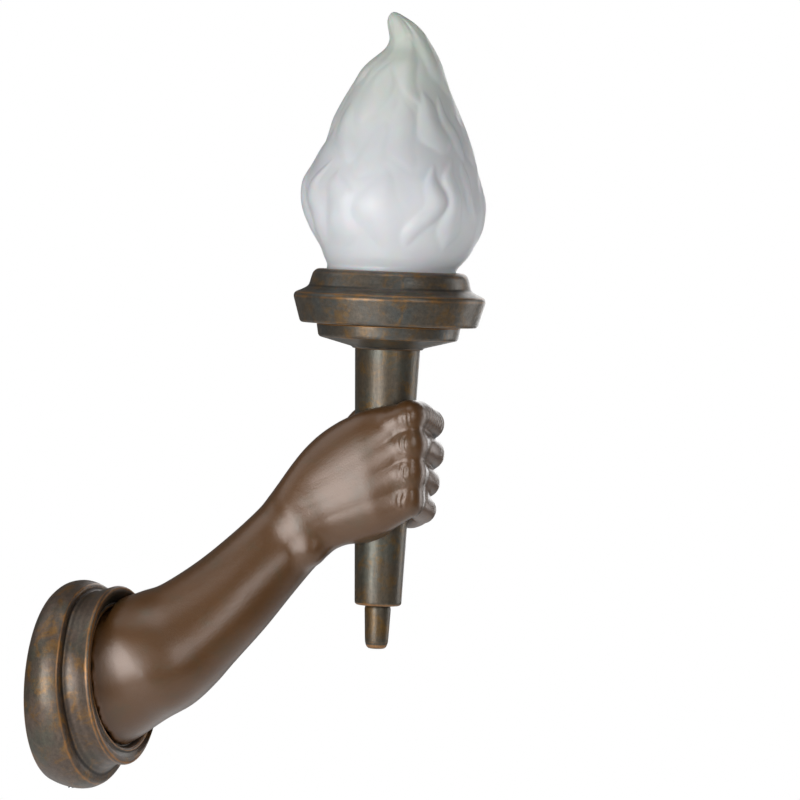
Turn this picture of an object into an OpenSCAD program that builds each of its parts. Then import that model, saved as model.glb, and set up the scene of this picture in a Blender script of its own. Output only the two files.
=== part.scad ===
// Wall sconce: a cast arm comes out of a round wall rose and grips a torch with a glass flame.
// The wall is the plane y = 0, the sconce stands out of it along -y, +x is its right and +z is up.
// The origin is the middle of the rose's back. All sizes are in millimetres.

/* [Torch place] */
// How far the torch's axis stands out of the wall
torch_out = 177; // [168:1:190]
// How far the torch's axis lies to the right of the rose's middle
torch_side = 94; // [88:1:102]
// Height of the stem's lower end above the rose's middle
stem_z = 58; // [52:1:64]
// Height of the middle of the grip above the stem's lower end
grip_h = 92; // [86:1:98]

/* [Stem and finial] */
// Length of the stem
stem_h = 165; // [155:1:180]
// Radius of the stem's lower end
stem_low_r = 15; // [14:0.5:16]
// Radius of the stem's upper end
stem_top_r = 21; // [20:0.5:23]
// Wall of the stem
stem_wall = 3; // [2:0.5:4]
// Thickness of the discs that close the stem's two ends
stem_end = 4; // [3:0.5:6]
// Rounding of the stem's lower edge
stem_edge = 2; // [1:0.5:3]
// Length of the finial under the stem
finial_h = 28; // [22:1:36]
// Radius of the finial where it meets the stem
finial_r = 8.6; // [8:0.2:11]
// Radius of the finial near its round end
finial_tip_r = 7.4; // [6:0.2:8]
// Depth of the thread inside the finial
finial_thread = 13; // [8:1:16]
// Radius of the threaded rod through the torch
rod_r = 5; // [4:0.5:5.5]
// How far the rod reaches into the lampholder
rod_in_holder = 9; // [6:1:11]

/* [Cup] */
// Height of the shallow cone under the cup
cone_h = 7.6; // [5:0.2:10]
// Height of the cup's lower tier
tier_h = 7.8; // [6:0.2:12]
// Radius of the lower tier
tier_r = 46.4; // [44:0.2:50]
// Height of the wide band
band_h = 19; // [15:1:24]
// Radius of the wide band at its top edge
band_r = 62; // [60:0.5:68]
// How much the band narrows towards its lower edge
band_taper = 4.8; // [2:0.2:6]
// Height of the hollow curve above the band
cove_h = 5; // [4:0.5:8]
// Height of the top tier above the hollow curve
rim_h = 11; // [9:1:15]
// Radius of the top tier at the rim
rim_r = 48.8; // [47:0.2:51]
// Wall between the rim and the shade's seat
rim_wall = 6.2; // [4:0.2:7]
// Thickness of the cup's floor
floor_t = 5; // [3:0.5:7]
// Wall of the cup
cup_wall = 4.5; // [3:0.5:6]
// Width of the ledge under the shade
ledge_w = 6; // [4:0.5:8]
// Thickness of the ledge under the shade
ledge_t = 4; // [3:0.5:5]
// Depth of the shade's seat below the rim
seat_depth = 8; // [6:0.5:9]

/* [Flame shade] */
// Height of the flame above the cup's rim
flame_h = 166; // [150:1:185]
// Radius of the flame's belly
belly_r = 59; // [56:0.5:66]
// Thickness of the glass
glass_t = 2.6; // [2:0.1:4]
// Height of the flame's folds
fold = 2.6; // [0:0.1:3.2]
// Clearance between the shade's neck and its seat
neck_gap = 0.9; // [0.5:0.1:1.5]
// Thickness of the rubber ring under the shade
gasket_t = 1.5; // [1:0.1:2.5]

/* [Wall rose] */
// Radius of the rose at the wall
rose_r = 62.7; // [60:0.1:70]
// How far the rose bulges beyond its radius at the wall
rose_bulge = 4.3; // [2:0.1:6]
// Depth of the rose at its middle, up to the collar's front edge
rose_depth = 40.5; // [38:0.5:46]
// Wall of the rose at its back edge
rose_wall = 5.2; // [4:0.2:6]
// Radius of the raised collar
collar_r = 57.6; // [56:0.2:62]
// Tilt of the rose's front towards the ceiling, in degrees
tilt = 9; // [6:0.5:10]
// How far the collar's middle lies to the right
collar_side = 9; // [6:0.5:11]
// How far the collar's middle lies above the rose's middle
collar_rise = 7.5; // [5:0.5:9]
// Depth of the recess that the arm sits in
recess = 6.5; // [5:0.5:8]
// Thickness of the plate behind the recess
web_t = 6; // [5:0.5:8]

/* [Arm] */
// Radius of the arm where it leaves the rose
root_r = 44; // [42:0.5:46]
// Half of the wrist's width
wrist_w = 25.6; // [24:0.2:28]
// Half of the wrist's thickness
wrist_t = 22.5; // [20:0.5:24]
// Wall of the hollow casting
arm_wall = 5; // [4:0.5:7]
// Half of the hand's width
hand_w = 39.5; // [37:0.5:42]
// Half of the hand's thickness
hand_t = 17; // [15:0.5:19]
// Radius of the middle finger
finger_r = 9.5; // [8.5:0.1:10]
// Radius of the thumb
thumb_r = 9.8; // [9:0.1:10.5]
// Radius of the lead's way through the palm
duct_r = 4.5; // [3.5:0.5:5]
// Distance of the arm's screws from the collar's axis
screw_ring = 28; // [24:1:32]
// Radius of the arm's screws
arm_screw_r = 3; // [2.5:0.5:4]

/* [Bracket and wiring] */
// Distance between the two wall screws
wall_spacing = 76; // [70:1:84]
// Radius of the wall screw holes
wall_hole_r = 2.75; // [2.2:0.05:3.2]
// Width of the wall bracket
bracket_w = 24; // [20:1:28]
// Thickness of the wall bracket
bracket_t = 2.5; // [1.5:0.5:3]
// Length of the bracket's lower ear
ear_h = 14; // [12:1:16]
// Radius of the locking screw under the rose
lock_r = 2; // [1.5:0.25:3]
// Radius of the lead
lead_r = 2.4; // [2:0.1:3]
// Radius of the earth wire
earth_r = 1.1; // [0.8:0.1:1.3]

/* [Lampholder and bulb] */
// Outer radius of the lampholder
holder_r = 20.5; // [19:0.5:23]
// Height of the lampholder's body
holder_h = 36; // [32:1:40]
// Height of the lampholder's cap
holder_cap_h = 14; // [12:1:16]
// Wall of the lampholder's body
holder_wall = 3.5; // [2.5:0.5:4]
// Radius of the bulb's screw cap
bulb_cap_r = 13.2; // [12:0.1:13.5]
// Radius of the bulb's glass
bulb_r = 22.5; // [20:0.5:26]
// Height of the bulb's glass above its screw cap
bulb_glass_h = 50; // [46:1:60]

/* [Hidden] */

$fn = 96;
eps = 0.01;              // keeps cutting shapes from ending on the face that they cut
fit_gap = 0.2;           // clearance of a hole round what passes through it
seat_gap = 0.3;          // clearance between curved faces that don't bear on each other
bronze = "#5e4330";
patina = "#4c4a3c";

// Heights along the torch
cup_z = stem_z + stem_h;
tier_z = cup_z + cone_h;
band_z = tier_z + tier_h;
cove_z = band_z + band_h;
rim_z = cove_z + cove_h + rim_h;
floor_z = tier_z + floor_t;
seat_z = rim_z - seat_depth;
seat_r = rim_r - rim_wall;
ledge_r = seat_r - ledge_w;
washer_t = 1.6;
nut_t = 6;
nut_r = 9.8;
nut_z = floor_z + washer_t;
holder_z = nut_z + nut_t + seat_gap;
body_z = holder_z + holder_cap_h;
insert_t = 5;
shell_r = bulb_cap_r + seat_gap;
shell_wall = 0.6;
shell_sunk = 6;          // how far the screw shell ends below the holder's mouth
contact_h = 3;
bulb_z = body_z + insert_t + contact_h + seat_gap;
bulb_cap_h = body_z + holder_h - bulb_z - 2;
grip_z = stem_z + grip_h;
duct_z = grip_z - 9;

function stem_r(z) = stem_low_r + (stem_top_r - stem_low_r) * (z - stem_z) / stem_h;
function unit(v) = v / norm(v);
function mean(p, i = 0) = i == len(p) ? [0, 0, 0] : p[i] / len(p) + mean(p, i + 1);

// A point on the smooth curve through the points p, between point i and the next
function on_curve(p, i, t) =
    let (a = p[max(i - 1, 0)], b = p[i], c = p[i + 1], d = p[min(i + 2, len(p) - 1)])
    (2 * b + (c - a) * t + (2 * a - 5 * b + 4 * c - d) * pow(t, 2)
        + (3 * b - a - 3 * c + d) * pow(t, 3)) / 2;
function curve(p, steps) =
    [for (i = [0:len(p) - 2], k = [0:steps - 1]) on_curve(p, i, k / steps), p[len(p) - 1]];
function direction(p, i) = unit(p[min(i + 1, len(p) - 1)] - p[max(i - 1, 0)]);

// A closed solid through equal rings of points, each ring turning the same way round
module loft(rings) {
    n = len(rings[0]);
    last = len(rings) - 1;
    points = [for (r = rings) each r, mean(rings[0]), mean(rings[last])];
    sides = [for (j = [0:last - 1], i = [0:n - 1])
        let (a = j * n + i, b = j * n + (i + 1) % n)
        each [[a, b + n, b], [a, a + n, b + n]]];
    start = [for (i = [0:n - 1]) [len(points) - 2, i, (i + 1) % n]];
    end = [for (i = [0:n - 1]) [len(points) - 1, last * n + (i + 1) % n, last * n + i]];
    polyhedron(points = points, faces = concat(sides, start, end));
}

// A round tube along the path p: rows of p are [x, y, z, radius], and side sets where its rings start
module tube(p, sides, side = [0, 0, 1]) {
    centres = [for (q = p) [q[0], q[1], q[2]]];
    loft([for (i = [0:len(p) - 1])
        let (t = direction(centres, i), u = unit(cross(side, t)), v = cross(t, u))
        [for (k = [0:sides - 1])
            let (a = 360 * k / sides)
            centres[i] + p[i][3] * (u * cos(a) + v * sin(a))]]);
}

module at_torch(z = 0) {
    translate([torch_side, -torch_out, z]) children();
}

module turned(outline, z = 0) {
    at_torch(z) rotate_extrude() polygon(outline);
}

// The collar's frame: its middle is on the face that the arm sits on, and -y points along its axis
root_out = rose_depth - recess;
module at_collar() {
    translate([collar_side, -root_out, collar_rise]) rotate([-tilt, 0, 0]) children();
}

function collar_point(p) =
    [collar_side + p[0], -root_out + p[1] * cos(tilt) + p[2] * sin(tilt),
     collar_rise - p[1] * sin(tilt) + p[2] * cos(tilt)];

module along_y(from, to, r, sides = $fn) {
    translate([0, to, 0]) rotate([90, 0, 0]) cylinder(h = to - from, r = r, $fn = sides);
}

// ---- Wall bracket and wiring ----

ear_r = sqrt(pow(rose_r - rose_wall, 2) - pow(bracket_w / 2, 2)) - 2 * seat_gap;
lock_y = -8.5;
lip_h = 3.2;
over = 1;                // how far a cutting shape runs past what it cuts
earth_screw_r = 2;
earth_head_r = 4;
earth_head_h = 2.6;
cable_r = 7;
earth_z = 20;
block_z = -27;
block = [26, 12, 15];
block_y = -bracket_t - block[1];

module wall_bracket() {
    color("silver") difference() {
        union() {
            translate([-bracket_w / 2, -bracket_t, -ear_r]) cube([bracket_w, bracket_t, 2 * ear_r]);
            translate([-bracket_w / 2, -ear_h, -ear_r]) cube([bracket_w, ear_h, bracket_t]);
            translate([-bracket_w / 2, -lip_h, ear_r - bracket_t]) cube([bracket_w, lip_h, bracket_t]);
        }
        for (z = [-1, 1]) translate([0, 0, z * wall_spacing / 2])
            along_y(-bracket_t - over, over, wall_hole_r);
        along_y(-bracket_t - over, over, cable_r);
        translate([0, 0, earth_z]) along_y(-bracket_t - over, over, earth_screw_r);
        translate([0, lock_y, -ear_r - over]) cylinder(h = bracket_t + 2 * over, r = lock_r);
    }
}

lock_len = 13;
lock_reach = 4;          // how far the locking screw reaches past the ear
key_depth = 2;
module lock_screw() {
    color("silver") translate([0, lock_y, -ear_r - lock_len + lock_reach]) difference() {
        cylinder(h = lock_len, r = lock_r);
        translate([0, 0, -over]) cylinder(h = key_depth + over, r = lock_r / 2, $fn = 6);
    }
}

module earth_screw() {
    color("gold") translate([0, 0, earth_z]) {
        along_y(-bracket_t - earth_head_h, -bracket_t, earth_head_r);
        along_y(-bracket_t - eps, 0, earth_screw_r);
    }
}

pole_gap = 8.2;
clamp_z = [4, 11];       // heights of the clamp screws in the block
clamp_sunk = 1.5;
clamp_depth = 6;
clamp_r = 1.8;
wire_y = 8.4;
wire_r = 1.6;
module terminal_block() {
    color("white") translate([-block[0] / 2, block_y, block_z]) difference() {
        cube(block);
        for (i = [-1:1], z = clamp_z) translate([block[0] / 2 + i * pole_gap, 0, z])
            along_y(-over, clamp_depth, clamp_r);
        for (i = [-1:1]) translate([block[0] / 2 + i * pole_gap, wire_y, -over])
            cylinder(h = block[2] + 2 * over, r = wire_r);
    }
}

module terminal_screws() {
    color("gold") translate([0, block_y, block_z])
        for (i = [-1:1], z = clamp_z) translate([i * pole_gap, 0, z])
            along_y(clamp_sunk, clamp_depth, clamp_r);
}

// The wire runs from under the earth screw's head to under the head of the arm's top screw
module earth_wire() {
    start = -bracket_t - earth_head_h - earth_r - fit_gap;
    lie = web_t + washer_t + screw_head + earth_r + fit_gap;
    path = [
        [0, start, earth_z + 2], [4, start, earth_z + 1], [9, start - 2, earth_z + 1],
        [13, -13, earth_z + 5], [collar_side + 3, -16, earth_z + 9],
        collar_point([0, lie, screw_ring - 3]), collar_point([-1, lie, screw_ring])];
    color("yellow") tube([for (q = curve(path, 3)) [each q, earth_r]], 8, [0, 0, 1]);
}

// ---- Wall rose ----

// A ring of the rose: radius, distance from the wall, share of the tilt, share of the collar's offset
function rose_ring(s, sides) =
    [for (k = [0:sides - 1])
        let (a = 360 * k / sides, lean = tilt * s[2])
        [s[3] * collar_side + s[0] * cos(a),
         -s[1] + s[0] * sin(a) * sin(lean),
         s[3] * collar_rise + s[0] * sin(a) * cos(lean)]];

rose_sides = 56;
// The rose is one shell: its rings run down its inner face, across its back edge and up its outer face
module rose_shell() {
    d = rose_depth;
    back = root_out - web_t;
    r = rose_r - rose_wall;
    inner = [
        [collar_r - 9, back, 1, 1], [collar_r - 9, 0.72 * back, 1, 0.7],
        [collar_r - 7, 0.5 * back, 1, 0.35], [r - 1, 0.44 * back, 1, 0.2],
        [r + 1, 0.33 * back, 0.75, 0.15], [r, 0.06 * back, 0, 0], [r, 0, 0, 0]];
    outer = [
        [rose_r, 0, 0, 0], [rose_r + 0.8 * rose_bulge, 0.11 * d, 0.4, 0.05],
        [rose_r + rose_bulge, 0.23 * d, 0.7, 0.15], [rose_r + 0.65 * rose_bulge, 0.36 * d, 1, 0.2],
        [rose_r, 0.4 * d, 1, 0.25], [collar_r + 1.5, 0.43 * d, 1, 0.4],
        [collar_r - 1.5, 0.5 * d, 1, 0.6], [collar_r - 2, 0.66 * d, 1, 0.85],
        [collar_r - 0.5, 0.82 * d, 1, 1], [collar_r, 0.9 * d, 1, 1],
        [collar_r - 1.6, 0.97 * d, 1, 1], [collar_r - 5, d, 1, 1]];
    loft([for (s = concat(inner, outer)) rose_ring(s, rose_sides)]);
}

module arm_screw_places() {
    for (a = [30, 150, 270]) rotate([0, a, 0]) translate([screw_ring, 0, 0]) children();
}

lead_hole_r = 6;
module wall_rose() {
    color(patina) difference() {
        rose_shell();
        at_collar() {
            along_y(-2 * recess, 0, root_r + seat_gap);
            along_y(-over, web_t + over, lead_hole_r);
            arm_screw_places() along_y(-over, web_t + over, arm_screw_r + fit_gap);
        }
        translate([0, lock_y, -rose_r - rose_bulge - over])
            cylinder(h = 2 * rose_wall + rose_bulge, r = lock_r + fit_gap);
    }
}

screw_head = 3.5;
screw_grip = 12;
module arm_screws() {
    color("silver") at_collar() arm_screw_places() {
        along_y(web_t + washer_t, web_t + washer_t + screw_head, 1.8 * arm_screw_r);
        along_y(-screw_grip, web_t + washer_t + eps, arm_screw_r);
    }
}

module arm_washers() {
    color("silver") at_collar() arm_screw_places() difference() {
        along_y(web_t, web_t + washer_t, 2 * arm_screw_r);
        along_y(web_t - over, web_t + washer_t + over, arm_screw_r + fit_gap);
    }
}

flange = 2;              // width and thickness of the grommet's flange
module wire_grommet() {
    hole = lead_r + 1.2;
    wide = lead_hole_r + flange;
    color("black") at_collar() rotate([90, 0, 0]) rotate_extrude()
        polygon([[hole, -web_t - flange], [wide, -web_t - flange], [wide, -web_t],
            [lead_hole_r, -web_t], [lead_hole_r, 0], [hole, 0]]);
}

// ---- Arm ----

// The forearm's way from the rose to the wrist: shares of the way out, aside and up, and of the
// narrowing of its width and of its thickness, and how far its sections lean back, in degrees
forearm = [
    [0, 0, 0, 0, 0, tilt], [0.11, 0.10, 0.12, 0.07, 0.12, 25], [0.27, 0.16, 0.21, 0.3, 0.3, 33],
    [0.4, 0.22, 0.31, 0.46, 0.44, 38], [0.52, 0.34, 0.42, 0.65, 0.6, 43],
    [0.7, 0.58, 0.61, 0.82, 0.76, 47], [0.87, 0.84, 0.83, 0.94, 0.9, 47], [1, 1, 1, 1, 1, 44]];
// The hand's way along the back of the grip: out, aside and up from the middle of the grip,
// shares of the hand's width and thickness, and the lean of the section
hand = [
    [-41, -2.5, -36, 0.72, 1.18, 37], [-27, -0.5, -22, 0.88, 1.09, 28], [-11, 0, -12, 1, 1, 20],
    [7, 0, -4, 1, 0.91, 14], [23, 1, 3, 0.94, 0.78, 10],
    [31, 2, 6, 0.8, 0.5, 8], [33, 2, 6, 0.5, 0.25, 8]];
palm_side = torch_side - stem_r(grip_z) - 5.7;
wrist = [palm_side - 6, -torch_out + 53, grip_z - 50];
root = [collar_side, -root_out, collar_rise];

// A section of the arm: its middle, half its width, half its thickness, its lean, and where it starts,
// as a share of the step between its points
function section(c, w, t, lean, sides, start = 0) =
    [for (k = [0:sides - 1])
        let (a = 360 * (k + start) / sides)
        [c[0] + t * cos(a), c[1] + w * sin(a) * sin(lean), c[2] + w * sin(a) * cos(lean)]];
function forearm_at(s) =
    [root[0] + s[1] * (wrist[0] - root[0]), root[1] + s[0] * (wrist[1] - root[1]),
     root[2] + s[2] * (wrist[2] - root[2])];
function hand_at(s) = [palm_side + s[1], -torch_out - s[0], grip_z + s[2]];

arm_sides = 32;
module arm_core() {
    loft([
        for (s = forearm) section(forearm_at(s), root_r - seat_gap + s[3] * (wrist_w - root_r),
            root_r + s[4] * (wrist_t - root_r), s[5], arm_sides),
        for (s = hand) section(hand_at(s), s[3] * hand_w, s[4] * hand_t, s[5], arm_sides)]);
}

// The casting is hollow from its root plate to the wrist, and the hollow's neck goes through the plate
module arm_hollow() {
    axis = [0, -cos(tilt), sin(tilt)];
    loft([
        for (d = [-1, screw_grip + 2])
            section(root + d * axis, lead_hole_r, lead_hole_r, tilt, arm_sides, 0.5),
        for (i = [2:len(forearm) - 1])
            let (s = forearm[i])
            section(forearm_at(s), root_r + s[3] * (wrist_w - root_r) - arm_wall,
                root_r + s[4] * (wrist_t - root_r) - arm_wall, s[5], arm_sides, 0.5)]);
}

// A place round the torch: angle from +x towards the front, distance from its axis, height
function round_torch(a, r, z) = [torch_side + r * cos(a), -torch_out - r * sin(a), z];

// Fingers from the first to the little one: height of the knuckle above the grip's middle, drop to
// the middle joint and to the tip, share of the finger's radius, angle of the tip round the stem
fingers = [[35, 8, 20, 1, 12], [14, 8, 21, 1, -8], [-5, 8, 20, 0.97, -2], [-24, 6, 13, 0.86, 30]];

module finger(f) {
    z = grip_z + f[0];
    r = finger_r * f[3];
    mid_a = f[4] + 24;
    tip_z = z - f[2];
    path = [
        [each round_torch(157, stem_r(z) + 8, z + 2), r],
        [each round_torch(131, stem_r(z) + 14, z), 1.1 * r],
        [each round_torch(96, stem_r(z) + 8.5, z - f[1] / 2), r],
        [each round_torch(61, stem_r(z) + 11, z - f[1]), 1.04 * r],
        [each round_torch((61 + mid_a) / 2, stem_r(z) + 8.5, z - f[1] - 3), 0.95 * r],
        [each round_torch(mid_a, stem_r(z) + 9, (z - f[1] + tip_z) / 2 - 1), 0.92 * r],
        [each round_torch(f[4], stem_r(z) + 8, tip_z), 0.8 * r],
        [each round_torch(f[4] - 9, stem_r(z) + 7, tip_z - 1.5), 0.5 * r],
        [each round_torch(f[4] - 12, stem_r(z) + 7, tip_z - 2), 0.15 * r]];
    tube(curve(path, 2), 12);
}

module thumb() {
    z = grip_z;
    path = [
        [each round_torch(205, 36, z - 34), 1.2 * thumb_r],
        [each round_torch(255, 36, z - 24), 1.45 * thumb_r],
        [each round_torch(282, stem_r(z) + 14, z - 8), 1.2 * thumb_r],
        [each round_torch(290, stem_r(z) + 11, z + 10), 0.98 * thumb_r],
        [each round_torch(298, stem_r(z) + 11, z + 21), thumb_r],
        [each round_torch(322, stem_r(z) + 9, z + 31), 0.9 * thumb_r],
        [each round_torch(338, stem_r(z) + 8, z + 38), 0.62 * thumb_r],
        [each round_torch(342, stem_r(z) + 7.5, z + 41), 0.2 * thumb_r]];
    tube(curve(path, 2), 12, [1, 0, 0]);
}

// The arm's skin and its hollow are one mesh, so that the bores are cut into it as true cylinders
module flesh() {
    resize([0, 0, 0]) difference() {
        union() {
            arm_core();
            for (f = fingers) finger(f);
            thumb();
        }
        arm_hollow();
        lead_duct();
        at_collar() difference() {
            along_y(-recess - seat_gap, 60, 2 * root_r, 48);
            along_y(-recess - 1, 61, root_r, 48);
        }
    }
}

// The lead's way through the palm: from the hollow to the elbow behind the stem, then into the stem
duct_side = palm_side - 6;
elbow = [duct_side, -torch_out, duct_z];
elbow_r = duct_r + 1.5;
duct_way = unit(elbow - wrist);
module round_bar(from, to, r) {
    v = to - from;
    translate(from) rotate([0, acos(v[2] / norm(v)), atan2(v[1], v[0])])
        cylinder(h = norm(v), r = r, $fn = 24);
}

module lead_duct() {
    round_bar(wrist - 3 * duct_way, elbow, duct_r);
    translate(elbow) sphere(elbow_r, $fn = 24);
    round_bar(elbow, elbow + [torch_side - duct_side, 0, 0], duct_r);
}

module arm() {
    color(bronze) difference() {
        flesh();
        turned([[0, stem_z - 1], [stem_low_r, stem_z - 1], [stem_low_r + fit_gap, stem_z],
            [stem_top_r + fit_gap, cup_z], [0, cup_z]]);
        at_collar() arm_screw_places() along_y(-screw_grip - over, over, arm_screw_r);
    }
}

// ---- Torch ----

module torch_stem() {
    inner_low = stem_low_r - stem_wall;
    inner_top = stem_top_r - stem_wall;
    color(patina) difference() {
        turned([[rod_r + fit_gap, stem_z], [stem_low_r - stem_edge, stem_z],
            for (a = [-60:30:0])
                [stem_low_r + stem_edge * (cos(a) - 1), stem_z + stem_edge * (sin(a) + 1)],
            [stem_top_r, cup_z], [rod_r + fit_gap, cup_z], [rod_r + fit_gap, cup_z - stem_end],
            [inner_top, cup_z - stem_end], [inner_low, stem_z + stem_end],
            [rod_r + fit_gap, stem_z + stem_end]]);
        translate(elbow) rotate([0, 90, 0]) cylinder(h = torch_side - duct_side - rod_r, r = duct_r);
        lead_hole(cup_z - stem_end - over, stem_end + 2 * over);
    }
}

lead_way = nut_r + lead_r + 2 * seat_gap;    // distance of the rising lead from the torch's axis
module lead_hole(z, h) {
    at_torch(z) translate([-lead_way, 0, 0]) cylinder(h = h, r = lead_r + 0.6);
}

module torch_finial() {
    round_r = finial_tip_r;
    low = stem_z - finial_h;
    color(patina) turned([
        for (a = [-90:10:0]) [round_r * cos(a), low + round_r + round_r * sin(a)],
        [finial_r, stem_z - 2], [finial_r - 0.8, stem_z], [rod_r, stem_z],
        [rod_r, stem_z - finial_thread], [0, stem_z - finial_thread]]);
}

module centre_rod() {
    low = stem_z - finial_thread + 1;
    color("silver") at_torch(low) cylinder(h = holder_z + rod_in_holder - low, r = rod_r);
}

module torch_cup() {
    cove_r = band_r - 9.5;
    cavity_r = band_r - band_taper - cup_wall;
    cove = [for (a = [0:15:90])
        [band_r - 1 - (band_r - 1 - cove_r) * sin(a), cove_z + cove_h * (1 - cos(a))]];
    color(patina) difference() {
        turned(concat([
            [rod_r + fit_gap, cup_z], [stem_top_r + 1.5, cup_z],
            [tier_r - 2, tier_z - 0.4], [tier_r - 1.4, tier_z],
            [tier_r, band_z - 0.8], [tier_r - 0.6, band_z], [band_r - band_taper - 0.8, band_z],
            [band_r - band_taper, band_z + 0.8], [band_r, cove_z - 1.2]],
            cove,
            [[rim_r + 0.6, rim_z - 1.2], [rim_r - 0.4, rim_z], [seat_r, rim_z], [seat_r, seat_z],
            [ledge_r, seat_z], [ledge_r, seat_z - ledge_t], [cavity_r, seat_z - ledge_t - 3],
            [cavity_r, band_z + cup_wall], [tier_r - cup_wall, band_z + cup_wall],
            [tier_r - cup_wall - 1, floor_z], [rod_r + fit_gap, floor_z]]));
        lead_hole(cup_z - over, floor_z - cup_z + 2 * over);
    }
}

module shade_gasket() {
    color("dimgray") at_torch(seat_z) difference() {
        cylinder(h = gasket_t, r = seat_r - 0.1);
        translate([0, 0, -over]) cylinder(h = gasket_t + 2 * over, r = ledge_r + 1);
    }
}

module rod_washer() {
    color("silver") at_torch(floor_z) difference() {
        cylinder(h = washer_t, r = nut_r);
        translate([0, 0, -over]) cylinder(h = washer_t + 2 * over, r = rod_r + fit_gap);
    }
}

module rod_nut() {
    color("silver") at_torch(nut_z) difference() {
        cylinder(h = nut_t, r = nut_r, $fn = 6);
        translate([0, 0, -over]) cylinder(h = nut_t + 2 * over, r = rod_r);
    }
}

// ---- Lampholder and bulb ----

holder_bore = holder_r - holder_wall;
cap_top_t = 3;           // thickness of the holder cap's top plate, above its cone
cap_cone = [4, 8];       // how far the cap's cone runs in and up
module holder_cap() {
    color("ivory") turned([[rod_r, holder_z], [holder_r - cap_cone[0], holder_z],
        [holder_r, holder_z + cap_cone[1]], [holder_r, body_z], [holder_bore, body_z],
        [holder_bore, body_z - cap_top_t], [rod_r, body_z - cap_top_t]]);
}

insert_r = holder_bore - fit_gap;
insert_z = body_z + insert_t;
module holder_insert() {
    color("white") turned([[0, body_z], [insert_r, body_z], [insert_r, insert_z], [0, insert_z]]);
}

module holder_body() {
    top = body_z + holder_h;
    edge = 1;
    color("ivory") turned([[holder_bore, body_z], [holder_r, body_z], [holder_r, top - edge],
        [holder_r - edge, top], [holder_bore, top]]);
}

module screw_shell() {
    foot = insert_z + shell_wall;
    top = body_z + holder_h - shell_sunk;
    outer = shell_r + shell_wall;
    inner = shell_r - 4;
    color("gold") turned([[inner, insert_z], [insert_r, insert_z], [insert_r, foot], [outer, foot],
        [outer, top], [shell_r, top], [shell_r, foot], [inner, foot]]);
}

module centre_contact() {
    color("gold") turned([[0, insert_z], [5, insert_z], [5, insert_z + shell_wall],
        [3.5, insert_z + contact_h], [0, insert_z + contact_h]]);
}

eyelet = [4.5, 1, 1.8];  // radius of the bulb's contact, and the heights of its edge's two sides
glass_z = bulb_z + bulb_cap_h;
module bulb_cap() {
    inner = bulb_cap_r - shell_wall;
    cone = bulb_z + 4;
    color("gold") turned([[eyelet[0], bulb_z + eyelet[1]], [bulb_cap_r, cone], [bulb_cap_r, glass_z],
        [inner, glass_z], [inner, cone + shell_wall], [eyelet[0], bulb_z + eyelet[2]]]);
}

module bulb_contact() {
    color("silver") turned([[0, bulb_z], [2.5, bulb_z], [eyelet[0], bulb_z + eyelet[1]],
        [eyelet[0], bulb_z + eyelet[2]], [0, bulb_z + eyelet[2]]]);
}

bulb_mid = glass_z + bulb_glass_h - bulb_r;
module bulb_glass() {
    neck = bulb_cap_r - 0.8;
    low = glass_z - 5;
    start = -acos(min(0.98, (neck + 4) / bulb_r));
    wall = 0.8;
    steps = 12;
    outer = [for (k = [0:steps]) let (a = start + (90 - start) * k / steps)
        [bulb_r * cos(a), bulb_mid + bulb_r * sin(a)]];
    inner = [for (k = [steps:-1:0]) let (a = start + (90 - start) * k / steps)
        [(bulb_r - wall) * cos(a), bulb_mid + (bulb_r - wall) * sin(a)]];
    color("white", 0.8) turned(concat([[neck, low], [neck, glass_z + 2]], outer, inner,
        [[neck - wall, glass_z + 2], [neck - wall, low]]));
}

module bulb_stem() {
    color("white") turned([[0, glass_z - 5], [bulb_cap_r - 1.8, glass_z - 5], [4, glass_z + 3],
        [3, bulb_mid - 6], [3.5, bulb_mid + 4], [0, bulb_mid + 6]]);
}

// ---- Flame shade ----

// The flame's outline from the rim up: share of its height, share of the belly's radius, and how
// far it leans, as a share of the belly's radius
flame = [
    [0.02, 0.69, 0.02], [0.1, 0.86, 0.04], [0.2, 0.97, 0.02], [0.29, 1, 0], [0.4, 0.92, 0.01],
    [0.52, 0.77, 0.02], [0.63, 0.65, 0.02], [0.72, 0.52, 0.03], [0.79, 0.45, 0.06],
    [0.84, 0.34, 0.11], [0.87, 0.25, 0.14], [0.91, 0.2, 0.1], [0.95, 0.16, 0.03],
    [0.98, 0.09, -0.05], [1, 0.03, -0.08]];
lean_to = -68;           // the direction in which the flame leans, in degrees from +x
neck_r = seat_r - neck_gap;
shade_z = seat_z + gasket_t;

// A smooth step from 0 to 1 as v goes from the first bound to the second
function ramp(v, from, to) = let (t = max(0, min(1, (v - from) / (to - from)))) t * t * (3 - 2 * t);

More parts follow.
